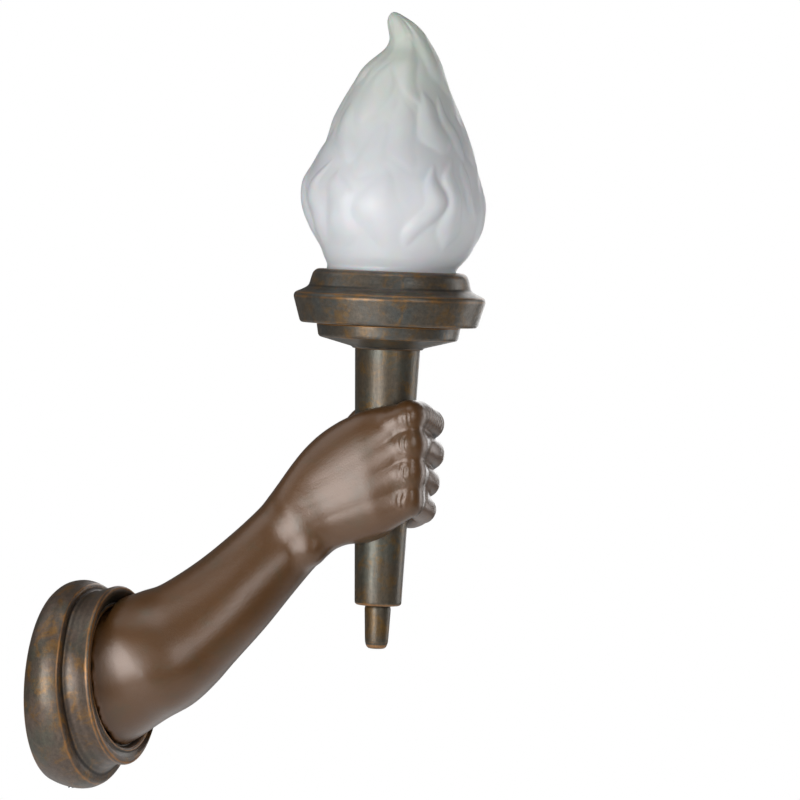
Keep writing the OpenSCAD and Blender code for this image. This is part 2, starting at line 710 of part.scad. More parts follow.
// The flame's tongues, in three tiers: the angle of the middle from +x, the shares of the height
// where the foot and the tip are, half the width as a share of the belly's radius, how far the
// tongue leans and bows, in degrees, and the share of the fold's height
tongues = [
    [12, 0.05, 0.35, 0.25, 6, 0, 0.65], [33, 0.09, 0.43, 0.19, 10, 0, 0.69],
    [65, 0.06, 0.45, 0.21, -16, 6, 0.88], [84, 0.08, 0.41, 0.18, -12, 0, 0.77],
    [112, 0.07, 0.5, 0.26, -8, 4, 0.92], [139, 0.06, 0.43, 0.23, 10, 3, 0.77],
    [160, 0.06, 0.39, 0.26, 8, -10, 0.81], [194, 0.05, 0.4, 0.33, -8, 5, 0.65],
    [223, 0.09, 0.42, 0.19, 22, -4, 0.81], [243, 0.08, 0.44, 0.18, 8, 3, 0.88],
    [262, 0.12, 0.44, 0.12, -12, 3, 0.77], [296, 0.06, 0.4, 0.23, -8, 0, 0.81],
    [342, 0.05, 0.31, 0.26, -18, 0, 0.69], [347, 0.22, 0.47, 0.26, -34, 0, 0.77],
    [40, 0.42, 0.7, 0.26, -10, 12, 0.88], [68, 0.43, 0.69, 0.18, -6, 3, 0.77],
    [110, 0.47, 0.78, 0.23, 12, -3, 0.85], [153, 0.4, 0.64, 0.25, -18, 4, 0.81],
    [184, 0.35, 0.57, 0.26, 14, -4, 0.69], [207, 0.38, 0.67, 0.21, -8, 4, 0.62],
    [233, 0.45, 0.69, 0.25, -6, 3, 1], [254, 0.43, 0.68, 0.16, -10, 3, 0.85],
    [274, 0.38, 0.64, 0.18, -8, 0, 0.77], [300, 0.38, 0.73, 0.19, 8, -3, 0.81],
    [320, 0.27, 0.57, 0.21, -26, 0, 0.77], [347, 0.42, 0.72, 0.25, -28, 0, 0.73],
    [128, 0.67, 0.91, 0.19, 20, 0, 0.73], [176, 0.56, 0.81, 0.23, 16, 5, 0.73],
    [210, 0.62, 0.91, 0.16, -30, 6, 0.73], [252, 0.66, 0.96, 0.18, -58, 6, 0.81],
    [350, 0.69, 0.99, 0.25, 30, 0, 0.58]];
swell = 0.35;             // height of the slow swell under the tongues
narrow = 0.4 * belly_r;  // where the flame is narrower than this, the tongues are lower

// How far a tongue stands up at the angle a and the share h of the height, where the flame's radius is r
function stands(row, a, h, r) =
    let (
        t = max(0.001, min(0.999, (h - row[1]) / (row[2] - row[1]))),
        line = row[0] + row[4] * (t - 0.5) + row[5] * (pow(2 * t - 1, 2) - 0.5),
        off = (a - line + 900) % 360 - 180,
        width = row[3] * belly_r * pow(sin(180 * pow(t, 0.8)), 0.7),
        u = off * PI / 180 * r / width)
    row[6] * pow(max(0, 1 - u * u), 0.8) * pow(sin(180 * t), 0.4);

// How far the glass lies outside a plain ring of radius r: the highest tongue counts
function relief(a, h, r) =
    let (
        b = a + 3 * sin(3 * a + 1200 * h) + 2 * sin(5 * a - 1950 * h),
        low = max(0.35, min(1, r / narrow)),
        slow = sin(3 * b + 400 * h) + 0.7 * sin(5 * b - 630 * h + 115),
        top = max([for (row = tongues) stands(row, b, h, r)]))
    (low * fold * (top - 0.52) + swell * slow) * ramp(h, 0.02, 0.12) * (1 - ramp(h, 0.95, 1));

// A ring of the glass: row is [share of the height, share of the belly's radius, lean]
function glass_ring(row, inset, sides) =
    let (lean = row[2] * belly_r, r = row[1] * belly_r, z = rim_z + row[0] * flame_h)
    [for (k = [0:sides - 1])
        let (a = 360 * k / sides, q = r - inset + relief(a, row[0], r))
        [torch_side + lean * cos(lean_to) + q * cos(a),
         -torch_out + lean * sin(lean_to) + q * sin(a), z]];

function neck_ring(r, z, sides) =
    [for (k = [0:sides - 1])
        let (a = 360 * k / sides)
        [torch_side + r * cos(a), -torch_out + r * sin(a), z]];

shade_sides = 72;
inner_tip = 0.9;          // share of the height where the hollow ends
neck_top = rim_z - 1;
// The glass is one shell: its rings run down its inner face, across the neck and up its outer face
module flame_shade() {
    wall = curve(flame, 2);
    color("white", 0.6) loft([
        for (i = [len(wall) - 1:-1:0])
            if (wall[i][0] < inner_tip) glass_ring(wall[i], glass_t, shade_sides),
        neck_ring(neck_r - glass_t, neck_top, shade_sides),
        neck_ring(neck_r - glass_t, shade_z, shade_sides),
        neck_ring(neck_r, shade_z, shade_sides),
        neck_ring(neck_r, neck_top, shade_sides),
        for (row = wall) glass_ring(row, 0, shade_sides)]);
}

// ---- Lead ----

// The lead's way: terminal block, rose, forearm, palm, elbow, and up beside the rod to the lampholder
module lamp_lead() {
    rise = torch_side - lead_way;
    block_top = block_z + block[2];
    path = [
        [-pole_gap + 3, block_y + 3.4, block_top + 1], [-pole_gap + 4, block_y + 2, block_top + 6],
        [0, block_y - 2, collar_rise - 5],
        collar_point([-1, web_t + 6, -1]), collar_point([0, web_t + 1, 0]), collar_point([0, -14, 0]),
        forearm_at(forearm[3]), forearm_at(forearm[5]), forearm_at(forearm[6]),
        wrist - 4 * duct_way, wrist + 6 * duct_way, elbow - 24 * duct_way, elbow - 9 * duct_way,
        elbow - 4 * duct_way + [0.8, 0, 0], elbow + [4, 0, 0], elbow + [9, 0, 0],
        [rise - 4, -torch_out, duct_z + 0.2], [rise - 0.6, -torch_out, duct_z + 2.6],
        [rise, -torch_out, duct_z + 10], [rise, -torch_out, duct_z + 20],
        [rise, -torch_out, cup_z - 12], [rise, -torch_out, floor_z],
        [rise, -torch_out, holder_z - fit_gap]];
    color("white") tube([for (q = curve(path, 2)) [each q, lead_r]], 8, [0, 1, 0]);
}

wall_bracket();
lock_screw();
earth_screw();
terminal_block();
terminal_screws();
earth_wire();
wall_rose();
arm_screws();
arm_washers();
wire_grommet();
arm();
lamp_lead();
torch_stem();
torch_finial();
centre_rod();
torch_cup();
rod_washer();
rod_nut();
shade_gasket();
holder_cap();
holder_insert();
holder_body();
screw_shell();
centre_contact();
bulb_cap();
bulb_contact();
bulb_glass();
bulb_stem();
flame_shade();
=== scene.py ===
import math

import bpy
import numpy as np
import openvdb
from mathutils import Matrix, Vector


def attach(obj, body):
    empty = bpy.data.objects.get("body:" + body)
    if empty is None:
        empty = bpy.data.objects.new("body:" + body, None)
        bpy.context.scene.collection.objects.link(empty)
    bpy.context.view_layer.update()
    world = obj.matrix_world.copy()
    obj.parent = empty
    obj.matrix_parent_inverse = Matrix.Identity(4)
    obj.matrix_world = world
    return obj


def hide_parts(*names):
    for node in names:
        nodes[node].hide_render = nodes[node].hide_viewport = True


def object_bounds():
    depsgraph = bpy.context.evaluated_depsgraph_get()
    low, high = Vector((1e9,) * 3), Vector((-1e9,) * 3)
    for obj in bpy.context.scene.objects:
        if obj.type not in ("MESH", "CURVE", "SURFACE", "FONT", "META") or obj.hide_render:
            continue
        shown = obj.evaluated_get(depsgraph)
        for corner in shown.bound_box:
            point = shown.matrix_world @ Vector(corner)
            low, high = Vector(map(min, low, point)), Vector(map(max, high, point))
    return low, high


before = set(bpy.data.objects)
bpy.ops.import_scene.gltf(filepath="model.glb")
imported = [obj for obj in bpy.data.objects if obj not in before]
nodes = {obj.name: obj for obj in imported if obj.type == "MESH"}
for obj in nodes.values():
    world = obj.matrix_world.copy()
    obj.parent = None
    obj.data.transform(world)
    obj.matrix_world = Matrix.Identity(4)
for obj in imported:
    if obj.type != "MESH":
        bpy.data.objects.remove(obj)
cad_box = [list(corner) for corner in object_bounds()]
MM = 0.001

# ---- Camera ----
# The photograph was taken from far off, almost along the wall, with the sconce's left side in view.
# The camera leans a little, so the torch's top tips to the right.
view_azimuth = math.radians(-68)
view_elevation = math.radians(2)
view_roll = math.radians(2.2)
view_distance = 3.2
image_size = 800
pixel = 0.64 * MM
photo_width = image_size * pixel
rose_pixel = (63, 686)  # where the photograph shows the middle of the rose's back

image_right = Vector((math.cos(view_azimuth), math.sin(view_azimuth), 0))
to_camera = Vector((
    math.sin(view_azimuth) * math.cos(view_elevation), -math.cos(view_azimuth) * math.cos(view_elevation),
    math.sin(view_elevation)))
image_up = to_camera.cross(image_right)
leaned_right = image_right * math.cos(view_roll) + image_up * math.sin(view_roll)
leaned_up = image_up * math.cos(view_roll) - image_right * math.sin(view_roll)
half = image_size / 2
middle = (leaned_right * (half - rose_pixel[0]) + leaned_up * (rose_pixel[1] - half)) * pixel

camera_data = bpy.data.cameras.new("camera")
camera_data.sensor_width = 36
camera_data.lens = 36 * view_distance / photo_width
camera_data.clip_end = 30
camera = bpy.data.objects.new("camera", camera_data)
bpy.context.scene.collection.objects.link(camera)
camera.matrix_world = Matrix((
    (leaned_right.x, leaned_up.x, to_camera.x, middle.x + to_camera.x * view_distance),
    (leaned_right.y, leaned_up.y, to_camera.y, middle.y + to_camera.y * view_distance),
    (leaned_right.z, leaned_up.z, to_camera.z, middle.z + to_camera.z * view_distance),
    (0, 0, 0, 1)))
bpy.context.scene.camera = camera

# ---- Light and floor ----
# A large softbox stands left of the camera, a little low, as in the photograph, with a weaker strip at
# its edge, others on the right, above and behind. The floor is a pale seamless sheet, well below.


def to_linear(colour):
    """sRGB hex to linear: v / 12.92 up to 0.04045, and ((v + 0.055) / 1.055) ^ 2.4 above it."""
    v = np.array([int(colour[i:i + 2], 16) for i in (1, 3, 5)]) / 255
    return (*np.where(v <= 0.04045, v / 12.92, ((v + 0.055) / 1.055) ** 2.4), 1.0)


def add_node(tree, kind, settings=None, inputs=None):
    """Adds a shader node, sets its properties, and gives each input its constant or a link."""
    added = tree.nodes.new("ShaderNode" + kind)
    for name, value in (settings or {}).items():
        setattr(added, name, value)
    for name, value in (inputs or {}).items():
        if isinstance(value, bpy.types.NodeSocket):
            tree.links.new(value, added.inputs[name])
        else:
            added.inputs[name].default_value = value
    return added


def new_material(name):
    """An empty material with its surface output."""
    material = bpy.data.materials.new(name)
    material.use_nodes = True
    material.node_tree.nodes.clear()
    return material, material.node_tree, material.node_tree.nodes.new("ShaderNodeOutputMaterial")


grip_middle = Vector((0.05, -0.14, 0.17))


def softbox(name, azimuth, elevation, distance, size, power):
    """An area light on a sphere round the torch's grip, turned towards it."""
    a, e = math.radians(azimuth), math.radians(elevation)
    back = Vector((math.sin(a) * math.cos(e), -math.cos(a) * math.cos(e), math.sin(e)))
    data = bpy.data.lights.new(name, "AREA")
    data.shape = "RECTANGLE"
    data.size, data.size_y = size
    data.energy = power
    box = bpy.data.objects.new(name, data)
    bpy.context.scene.collection.objects.link(box)
    box.location = grip_middle + back * distance
    box.rotation_euler = back.to_track_quat("Z", "Y").to_euler()


softbox("softbox_left", -100, -3, 1.5, (0.8, 0.95), 17)
softbox("softbox_high_left", -150, 42, 1.6, (1.2, 1.2), 5)
softbox("softbox_right", -37, 14, 1.5, (0.32, 0.9), 5)
softbox("softbox_left_edge", -79, -3, 1.5, (0.26, 0.95), 2.6)
softbox("softbox_far_right", 50, 4, 1.5, (0.5, 1.1), 5)
softbox("softbox_top", -68, 68, 1.6, (0.9, 0.9), 5)
softbox("softbox_back", 96, 10, 1.6, (0.7, 1.1), 5.5)


def studio_glow(tree, pale):
    """The strength of a studio surface's own light: a tenth, or pale where the camera sees it."""
    seen = add_node(tree, "LightPath").outputs["Is Camera Ray"]
    strength = add_node(tree, "MapRange", None, {"Value": seen, "To Min": 0.1, "To Max": pale})
    return strength.outputs["Result"]


world = bpy.data.worlds.new("studio")
world.use_nodes = True
backdrop = world.node_tree.nodes["Background"]
backdrop.inputs["Color"].default_value = to_linear("#ffffff")
world.node_tree.links.new(studio_glow(world.node_tree, 1.0), backdrop.inputs["Strength"])
bpy.context.scene.world = world
bpy.context.scene.view_settings.view_transform = "Standard"

floor_material, tree, out = new_material("pale_floor_sheet")
sheet = add_node(tree, "BsdfPrincipled", None, {
    "Base Color": to_linear("#fdfdfd"), "Roughness": 0.9, "Emission Color": to_linear("#ffffff"),
    "Emission Strength": studio_glow(tree, 0.62)})
tree.links.new(sheet.outputs[0], out.inputs["Surface"])
floor_z, floor_half = cad_box[0][2] - 0.6, 2.2
floor_corners = [(x * floor_half, y * floor_half, floor_z) for x, y in ((-1, -1), (1, -1), (1, 1), (-1, 1))]
floor_mesh = bpy.data.meshes.new("floor")
floor_mesh.from_pydata(floor_corners, [], [(0, 1, 2, 3)])
floor_mesh.materials.append(floor_material)
floor = bpy.data.objects.new("floor", floor_mesh)
bpy.context.scene.collection.objects.link(floor)

# ---- Wall bracket, screws, washers, nut and threaded rod ----
# Pressed steel strip and steel fasteners, all with a bright zinc plating: a cool grey metal with a
# faint crystalline mottle and fine drawing lines.

as_colours = {"data_type": "RGBA"}


def hardware(name, colour, shade, metallic, roughness, mottle_mm, relief_mm):
    """A plain finish: two close colours mixed by a noise of mottle_mm, with a fine relief of relief_mm."""
    material, tree, out = new_material(name)
    place = add_node(tree, "TexCoord").outputs["Object"]
    mottle = add_node(tree, "TexNoise", None,
                      {"Vector": place, "Scale": 1 / (mottle_mm * MM), "Detail": 4, "Roughness": 0.6})
    colours = add_node(tree, "Mix", as_colours,
                       {0: mottle.outputs["Fac"], 6: to_linear(colour), 7: to_linear(shade)})
    rough = add_node(tree, "MapRange", None, {
        "Value": mottle.outputs["Fac"], "To Min": roughness - 0.07, "To Max": roughness + 0.09})
    relief = add_node(tree, "Bump", None,
                      {"Height": mottle.outputs["Fac"], "Strength": 0.5, "Distance": relief_mm * MM})
    surface = add_node(tree, "BsdfPrincipled", None, {
        "Base Color": colours.outputs[2], "Metallic": metallic, "Roughness": rough.outputs["Result"],
        "Normal": relief.outputs["Normal"]})
    tree.links.new(surface.outputs[0], out.inputs["Surface"])
    return material


def finish(names, material):
    """Gives CAD nodes their finish."""
    for name in names:
        nodes[name].data.materials.clear()
        nodes[name].data.materials.append(material)


zinc = hardware("bright_zinc_plate", "#c9ccd0", "#9ea2a8", 1.0, 0.3, 1.6, 0.02)
finish(["wall_bracket", "lock_screw", "arm_screws", "arm_washers", "centre_rod", "rod_washer", "rod_nut"],
       zinc)

# ---- Terminal block, its screws and the earth screw ----
# A moulded polyamide block with brass clamp screws; the earth screw is brass as well. Polyamide is a
# slightly translucent off-white with a fine moulded grain.
terminal_brass = hardware("machined_brass", "#d9b56a", "#b08a44", 1.0, 0.28, 1.2, 0.01)
polyamide = hardware("moulded_polyamide", "#e6e4dc", "#d6d3c8", 0.0, 0.5, 0.6, 0.01)
finish(["terminal_block"], polyamide)
finish(["terminal_screws", "earth_screw", "screw_shell", "centre_contact", "bulb_contact"], terminal_brass)

# ---- Earth wire and lamp lead ----
# Flexible copper wires in smooth sleeves: green for the earth, off-white heat-proof sleeving for the
# lead that runs through the arm. The earth's yellow stripe winds along the wire.
lead_sleeve = hardware("heatproof_sleeving", "#d8d4c8", "#bdb8a9", 0.0, 0.6, 0.8, 0.05)
finish(["lamp_lead"], lead_sleeve)
earth_sleeve, tree, out = new_material("striped_vinyl_sleeve")
place = add_node(tree, "TexCoord").outputs["Object"]
stripe = add_node(tree, "TexWave", {"bands_direction": "DIAGONAL"},
                  {"Vector": place, "Scale": 160, "Distortion": 0.5})
step = add_node(tree, "MapRange", None,
                {"Value": stripe.outputs["Fac"], "From Min": 0.6, "From Max": 0.66})
colours = add_node(tree, "Mix", as_colours,
                   {0: step.outputs["Result"], 6: to_linear("#2f7d3a"), 7: to_linear("#d8c832")})
vinyl = add_node(tree, "BsdfPrincipled", None,
                 {"Base Color": colours.outputs[2], "Roughness": 0.45})
tree.links.new(vinyl.outputs[0], out.inputs["Surface"])
finish(["earth_wire"], earth_sleeve)

# ---- Grommet and shade gasket ----
# Moulded black rubber: one keeps the lead off the casting's edge, the other beds the glass.
rubber = hardware("moulded_rubber", "#1d1d1e", "#2a2a2a", 0.0, 0.7, 0.7, 0.03)
finish(["wire_grommet", "shade_gasket"], rubber)

# ---- Wall rose ----
# Sand-cast bronze with a dark green-brown patina, brushed and waxed, its edges rubbed back to
# copper. One casting: a bulged foot against the wall, a groove, and a tilted collar round the arm.


def join_grid(name, points, loops, extra=None):
    """A mesh from a grid of points: the rows run along one parameter and the columns round the other, which
    closes on itself. loops says that the rows close too; otherwise the first and last row are drawn to a
    point. extra holds a number for each point of the grid, kept as an attribute."""
    rows, columns = points.shape[:2]
    index = np.arange(rows * columns).reshape(rows, columns)
    low = index if loops else index[:-1]
    high = np.roll(index, -1, 0) if loops else index[1:]
    quads = np.stack([low, np.roll(low, -1, 1), np.roll(high, -1, 1), high], -1).reshape(-1, 4)
    places = points.reshape(-1, 3)
    faces = quads.tolist()
    if not loops:
        places = np.vstack([places, points[0].mean(0), points[-1].mean(0)])
        first, last = len(places) - 2, len(places) - 1
        start = np.stack([np.full(columns, first), np.roll(index[0], -1), index[0]], -1)
        end = np.stack([np.full(columns, last), index[-1], np.roll(index[-1], -1)], -1)
        faces += start.tolist() + end.tolist()
    mesh = bpy.data.meshes.new(name)
    mesh.from_pydata((places * MM).tolist(), [], faces)
    mesh.validate()
    for key, values in (extra or {}).items():
        flat = values.reshape(-1)
        if not loops:
            flat = np.append(flat, [flat[0], flat[-1]])
        mesh.attributes.new(key, "FLOAT", "POINT").data.foreach_set("value", flat.astype(np.float32))
    mesh.polygons.foreach_set("use_smooth", np.ones(len(mesh.polygons), bool))
    piece = bpy.data.objects.new(name, mesh)
    bpy.context.scene.collection.objects.link(piece)
    return piece


def rounded(corners, radii, steps=6):
    """Rounds a closed outline: each corner P becomes the curve (1-s)^2 A + 2s(1-s) P + s^2 B, where A and
    B lie a radius away from P on its two sides, or less than half a side. Also gives, for each point, how
    convex (+) or hollow (-) its corner is, from the turn of the outline there, fading within the curve."""
    p = np.asarray(corners, float)
    r = np.broadcast_to(np.asarray(radii, float), len(p))
    before, after = np.roll(p, 1, 0) - p, np.roll(p, -1, 0) - p
    first, second = np.linalg.norm(before[:, :2], axis=1), np.linalg.norm(after[:, :2], axis=1)
    a = p + before * (np.minimum(r, 0.45 * first) / first)[:, None]
    b = p + after * (np.minimum(r, 0.45 * second) / second)[:, None]
    s = np.linspace(0, 1, steps)[None, :, None]
    curve = (1 - s) ** 2 * a[:, None] + 2 * s * (1 - s) * p[:, None] + s ** 2 * b[:, None]
    turn = (before[:, 1] * after[:, 0] - before[:, 0] * after[:, 1]) / (first * second)
    bend = turn[:, None] * np.sin(np.pi * np.linspace(0, 1, steps))[None]
    return curve.reshape(-1, p.shape[1]), bend.reshape(-1)


def filled(outline, bend, gap):
    """Adds points to the straight runs of a closed outline, so that none is longer than the gap."""
    ahead = np.roll(outline, -1, 0)
    count = np.maximum(1, np.ceil(np.linalg.norm((ahead - outline)[:, :2], axis=1) / gap)).astype(int)
    start = np.repeat(np.arange(len(outline)), count)
    share = (np.arange(len(start)) - np.repeat(np.cumsum(count) - count, count)) / count[start]
    points = outline[start] + share[:, None] * (ahead - outline)[start]
    return points, np.where(share == 0, bend[start], 0)


rose_tilt = math.radians(9)
collar_side, collar_rise, root_out = 9, 7.5, 34
# Each corner: radius, distance from the wall, share of the tilt, share of the collar's offset
# sideways, and height above the screw holes
rose_outline = [
    (62.5, 0.2, 0, 0.1, 2), (65.4, 5.5, 0.15, 0.1, 2.4), (66.8, 13, 0.3, 0.1, 2.4),
    (66.2, 18.6, 0.42, 0.12, 2.6), (64.0, 23.8, 0.5, 0.15, 3.2), (61.8, 24.8, 0.55, 0.17, 3.8),
    (58.6, 24.6, 0.6, 0.2, 4.6), (57.0, 26.4, 0.6, 0.22, 5.4), (56.0, 30.5, 0.62, 0.25, 7.4),
    (56.2, 35.2, 0.62, 0.28, 9.2), (57.2, 40.2, 0.62, 0.3, 9.8), (56, 42, 0.62, 0.3, 9.8),
    (52.4, 41.0, 0.75, 0.55, 9.2), (49.4, 38.4, 0.85, 0.8, 8.5), (48.2, 36.9, 1, 0.95, 7.8),
    (46.8, 38, 1, 1, 7.5), (45.3, 37.4, 1, 1, 7.5), (44.5, 35.4, 1, 1, 7.5), (44.5, 33.6, 1, 1, 7.5),
    (20, 33.6, 1, 1, 7.5), (6, 33.6, 1, 1, 7.5), (6, 28, 1, 1, 7.5), (48.6, 28, 1, 1, 7.5),
    (50.6, 14, 1, 0.35, 2.6), (56.5, 12.3, 1, 0.2, 1.5), (58.5, 11, 0.75, 0.15, 1.1), (57.5, 0.2, 0, 0, 0)]
rose_radii = [
    1.2, 6, 6, 5, 1.5, 1.6, 1.6, 2.4, 6, 6, 1.6, 1.8, 3, 2, 1, 1.2, 1.2, 1, 0.6, 1, 0.4, 0.4, 1, 2, 2, 2,
    0.6]
outline, bend = rounded(rose_outline, rose_radii)
outline, bend = filled(outline, bend, 2.5)
around = np.linspace(0, 2 * np.pi, 160, endpoint=False)
r, out_by, tilt_share, offset_share, rise = (column[:, None] for column in outline.T)
lean = rose_tilt * tilt_share

# The outer faces waver a little, as a casting filed by hand does, the ridge of the foot most of all.
# They are also a little narrower sideways than they are high
inner_r, ridge_r, ridge_out = 50, 55, 23
hand_filed = 0.25 * np.sin(3 * around + 1) + 0.2 * np.sin(5 * around + 2.5)
r = r + hand_filed * np.clip((r - inner_r) / 8, 0, 1)
narrow = 1 - 0.06 * np.clip((r - inner_r) / 4, 0, 1)
waver = 0.5 * np.sin(2 * around + 0.6) + 0.35 * np.sin(7 * around + 2)
worn_line = waver * np.exp(-((out_by - ridge_out) / 5) ** 2)
rose_points = np.stack([
    offset_share * collar_side + r * narrow * np.cos(around),
    -out_by - worn_line * np.clip((r - ridge_r) / 4, 0, 1) + r * np.sin(around) * np.sin(lean),
    rise + r * np.sin(around) * np.cos(lean)], -1)
rose_points[..., 1] = np.minimum(rose_points[..., 1], 0)
all_round = np.ones(len(around))
wall_rose = join_grid("wall_rose_casting", rose_points, True, {"bend": bend[:, None] * all_round})

soft_step = {"interpolation_type": "SMOOTHSTEP"}
# One over the size in metres of the patina's clouds (26 mm), patches (12 mm), speckles (3 mm) and grain,
# which is drawn at 1.1 mm, coarser than the real one, so that it shows
cloud_scale, patch_scale, speckle_scale, grain_scale = 38, 85, 330, 900


def patina(name, ground, green, brown, copper, streak):
    """Dark patina: three ground colours mixed by broad noises, streaks of the brush along or round the
    piece (streak is the pattern's stretch in x, y and z), bare copper where the bend is convex, and painted
    shade, darker, where it is hollow."""
    material, tree, out = new_material(name)
    place = add_node(tree, "TexCoord").outputs["Object"]
    cloud = add_node(tree, "TexNoise", None,
                     {"Vector": place, "Scale": cloud_scale, "Detail": 5, "Roughness": 0.62})
    patch = add_node(tree, "TexNoise", None, {
        "Vector": place, "Scale": patch_scale, "Detail": 6, "Roughness": 0.7, "Distortion": 0.6})
    stretched = add_node(tree, "Mapping", None, {"Vector": place, "Scale": streak})
    brush = add_node(tree, "TexNoise", None,
                     {"Vector": stretched.outputs[0], "Scale": 1, "Detail": 5, "Roughness": 0.7})
    speckle = add_node(tree, "TexNoise", None,
                       {"Vector": place, "Scale": speckle_scale, "Detail": 4, "Roughness": 0.75})
    grain = add_node(tree, "TexNoise", None, {"Vector": place, "Scale": grain_scale, "Detail": 3})
    bend = add_node(tree, "Attribute", {"attribute_name": "bend"}).outputs["Fac"]

    green_part = add_node(tree, "MapRange", soft_step, {
        "Value": cloud.outputs["Fac"], "From Min": 0.44, "From Max": 0.66, "To Max": 0.8})
    brown_part = add_node(tree, "MapRange", soft_step, {
        "Value": patch.outputs["Fac"], "From Min": 0.48, "From Max": 0.68, "To Max": 0.85})
    with_green = add_node(tree, "Mix", as_colours,
                          {0: green_part.outputs["Result"], 6: to_linear(ground), 7: to_linear(green)})
    with_brown = add_node(tree, "Mix", as_colours,
                          {0: brown_part.outputs["Result"], 6: with_green.outputs[2], 7: to_linear(brown)})
    streak_part = add_node(tree, "MapRange", None, {
        "Value": brush.outputs["Fac"], "From Min": 0.3, "From Max": 0.75, "To Min": 0.8, "To Max": 1.25})
    speckle_part = add_node(tree, "MapRange", None, {
        "Value": speckle.outputs["Fac"], "From Min": 0.3, "From Max": 0.7, "To Min": 0.72, "To Max": 1.3})
    uneven = add_node(tree, "Math", {"operation": "MULTIPLY"},
                      {0: streak_part.outputs["Result"], 1: speckle_part.outputs["Result"]})
    brushed = add_node(tree, "Mix", {"data_type": "RGBA", "blend_type": "MULTIPLY"},
                       {0: 1.0, 6: with_brown.outputs[2], 7: uneven.outputs[0]})
    worn = add_node(tree, "Math", {"operation": "MULTIPLY_ADD"},
                    {0: patch.outputs["Fac"], 1: 1.3, 2: -0.62})
    edge = add_node(tree, "Math", {"operation": "MULTIPLY_ADD"},
                    {0: bend, 1: 1.4, 2: worn.outputs[0]})
    bare = add_node(tree, "MapRange", soft_step,
                    {"Value": edge.outputs[0], "From Min": 0.45, "From Max": 1.35, "To Max": 0.8})
    rubbed = add_node(tree, "Mix", as_colours,
                      {0: bare.outputs["Result"], 6: brushed.outputs[2], 7: to_linear(copper)})
    # Painted shade: the colour darkens to a third in hollow corners, where the bend is concave
    hollow = add_node(tree, "MapRange", None,
                      {"Value": bend, "From Min": -0.7, "From Max": 0.0, "To Min": 0.35, "To Max": 1.0})
    shaded = add_node(tree, "Mix", {"data_type": "RGBA", "blend_type": "MULTIPLY"},
                      {0: 1.0, 6: rubbed.outputs[2], 7: hollow.outputs["Result"]})
    rough = add_node(tree, "MapRange", None, {
        "Value": brush.outputs["Fac"], "From Min": 0.25, "From Max": 0.8, "To Min": 0.5, "To Max": 0.34})
    relief_height = add_node(tree, "Math", {"operation": "MULTIPLY_ADD"},
                             {0: brush.outputs["Fac"], 1: 0.7, 2: grain.outputs["Fac"]})
    relief = add_node(tree, "Bump", None,
                      {"Height": relief_height.outputs[0], "Strength": 0.35, "Distance": 0.0003})
    surface = add_node(tree, "BsdfPrincipled", None, {
        "Base Color": shaded.outputs[2], "Metallic": 0.6, "Roughness": rough.outputs["Result"],
        "Coat Weight": 0.35, "Coat Roughness": 0.32, "Normal": relief.outputs["Normal"],
        "Coat Normal": relief.outputs["Normal"]})
    tree.links.new(surface.outputs[0], out.inputs["Surface"])
    return material


rose_patina = patina("brushed_bronze_patina", "#55473c", "#45453a", "#74511f", "#a06d35", (120, 240, 120))
wall_rose.data.materials.append(rose_patina)
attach(wall_rose, "fixture")
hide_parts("wall_rose")

# ---- Arm ----
# One hollow bronze casting, from the plug in the rose's recess to a right hand closed round the torch.
# It is modelled as a sculptor builds it up, from rounded masses that melt into each other. The patina
# is a warm chocolate brown, greener in patches, waxed to a soft gloss, with painted shade darkening its
# creases and hollows.
torch_x, torch_y = 94, -177
stem_low_z, stem_length, stem_low_r, stem_top_r = 58, 165, 15, 21
# The grid that the masses are worked out on: fine round the hand, coarser along the forearm
grid_step = 0.85
coarse_step = 2.2
axes = [
    np.concatenate([np.arange(-42, 44, coarse_step), np.arange(44, 132, grid_step)]),
    np.concatenate([np.arange(-222, -140, grid_step), np.arange(-140, -26, coarse_step)]),
    np.concatenate([np.arange(-44, 90, coarse_step), np.arange(90, 204, grid_step)])]
far = 20.0


def stem_r(z):
    """The torch's stem: its radius grows evenly with height."""
    return stem_low_r + (stem_top_r - stem_low_r) * (z - stem_low_z) / stem_length


def round_torch(angle, reach, z):
    """Places round the torch: angle in degrees from +x towards the room, distance from its axis, height."""
    a = np.radians(angle)
    return np.stack(np.broadcast_arrays(torch_x + reach * np.cos(a), torch_y - reach * np.sin(a), z), -1)


def smooth_path(points, steps):
    """A smooth curve through the rows of points: between rows b and c, with neighbours a and d, it is
    (2b + (c - a) t + (2a - 5b + 4c - d) t^2 + (3b - a - 3c + d) t^3) / 2."""
    p = np.asarray(points, float)
    p = np.vstack([p[0], p, p[-1]])
    t = np.linspace(0, 1, steps, endpoint=False)[None, :, None]
    a, b, c, d = (p[k:len(p) - 3 + k, None] for k in range(4))
    bent, twisted = 2 * a - 5 * b + 4 * c - d, 3 * b - a - 3 * c + d
    curve = (2 * b + (c - a) * t + bent * t ** 2 + twisted * t ** 3) / 2
    return np.vstack([curve.reshape(-1, p.shape[1]), p[-1]])


def empty_field():
    """A distance for every point of the grid, far from any surface."""
    return np.full([len(a) for a in axes], far, np.float32)


def near(low, high, margin=13):
    """The block of the grid between two corners, with a margin, and its coordinates."""
    cut = tuple(slice(*np.searchsorted(a, (low[i] - margin, high[i] + margin))) for i, a in enumerate(axes))
    block = np.meshgrid(*(a[part] for a, part in zip(axes, cut)), indexing="ij", sparse=True)
    return cut, [c.astype(np.float32) for c in block]


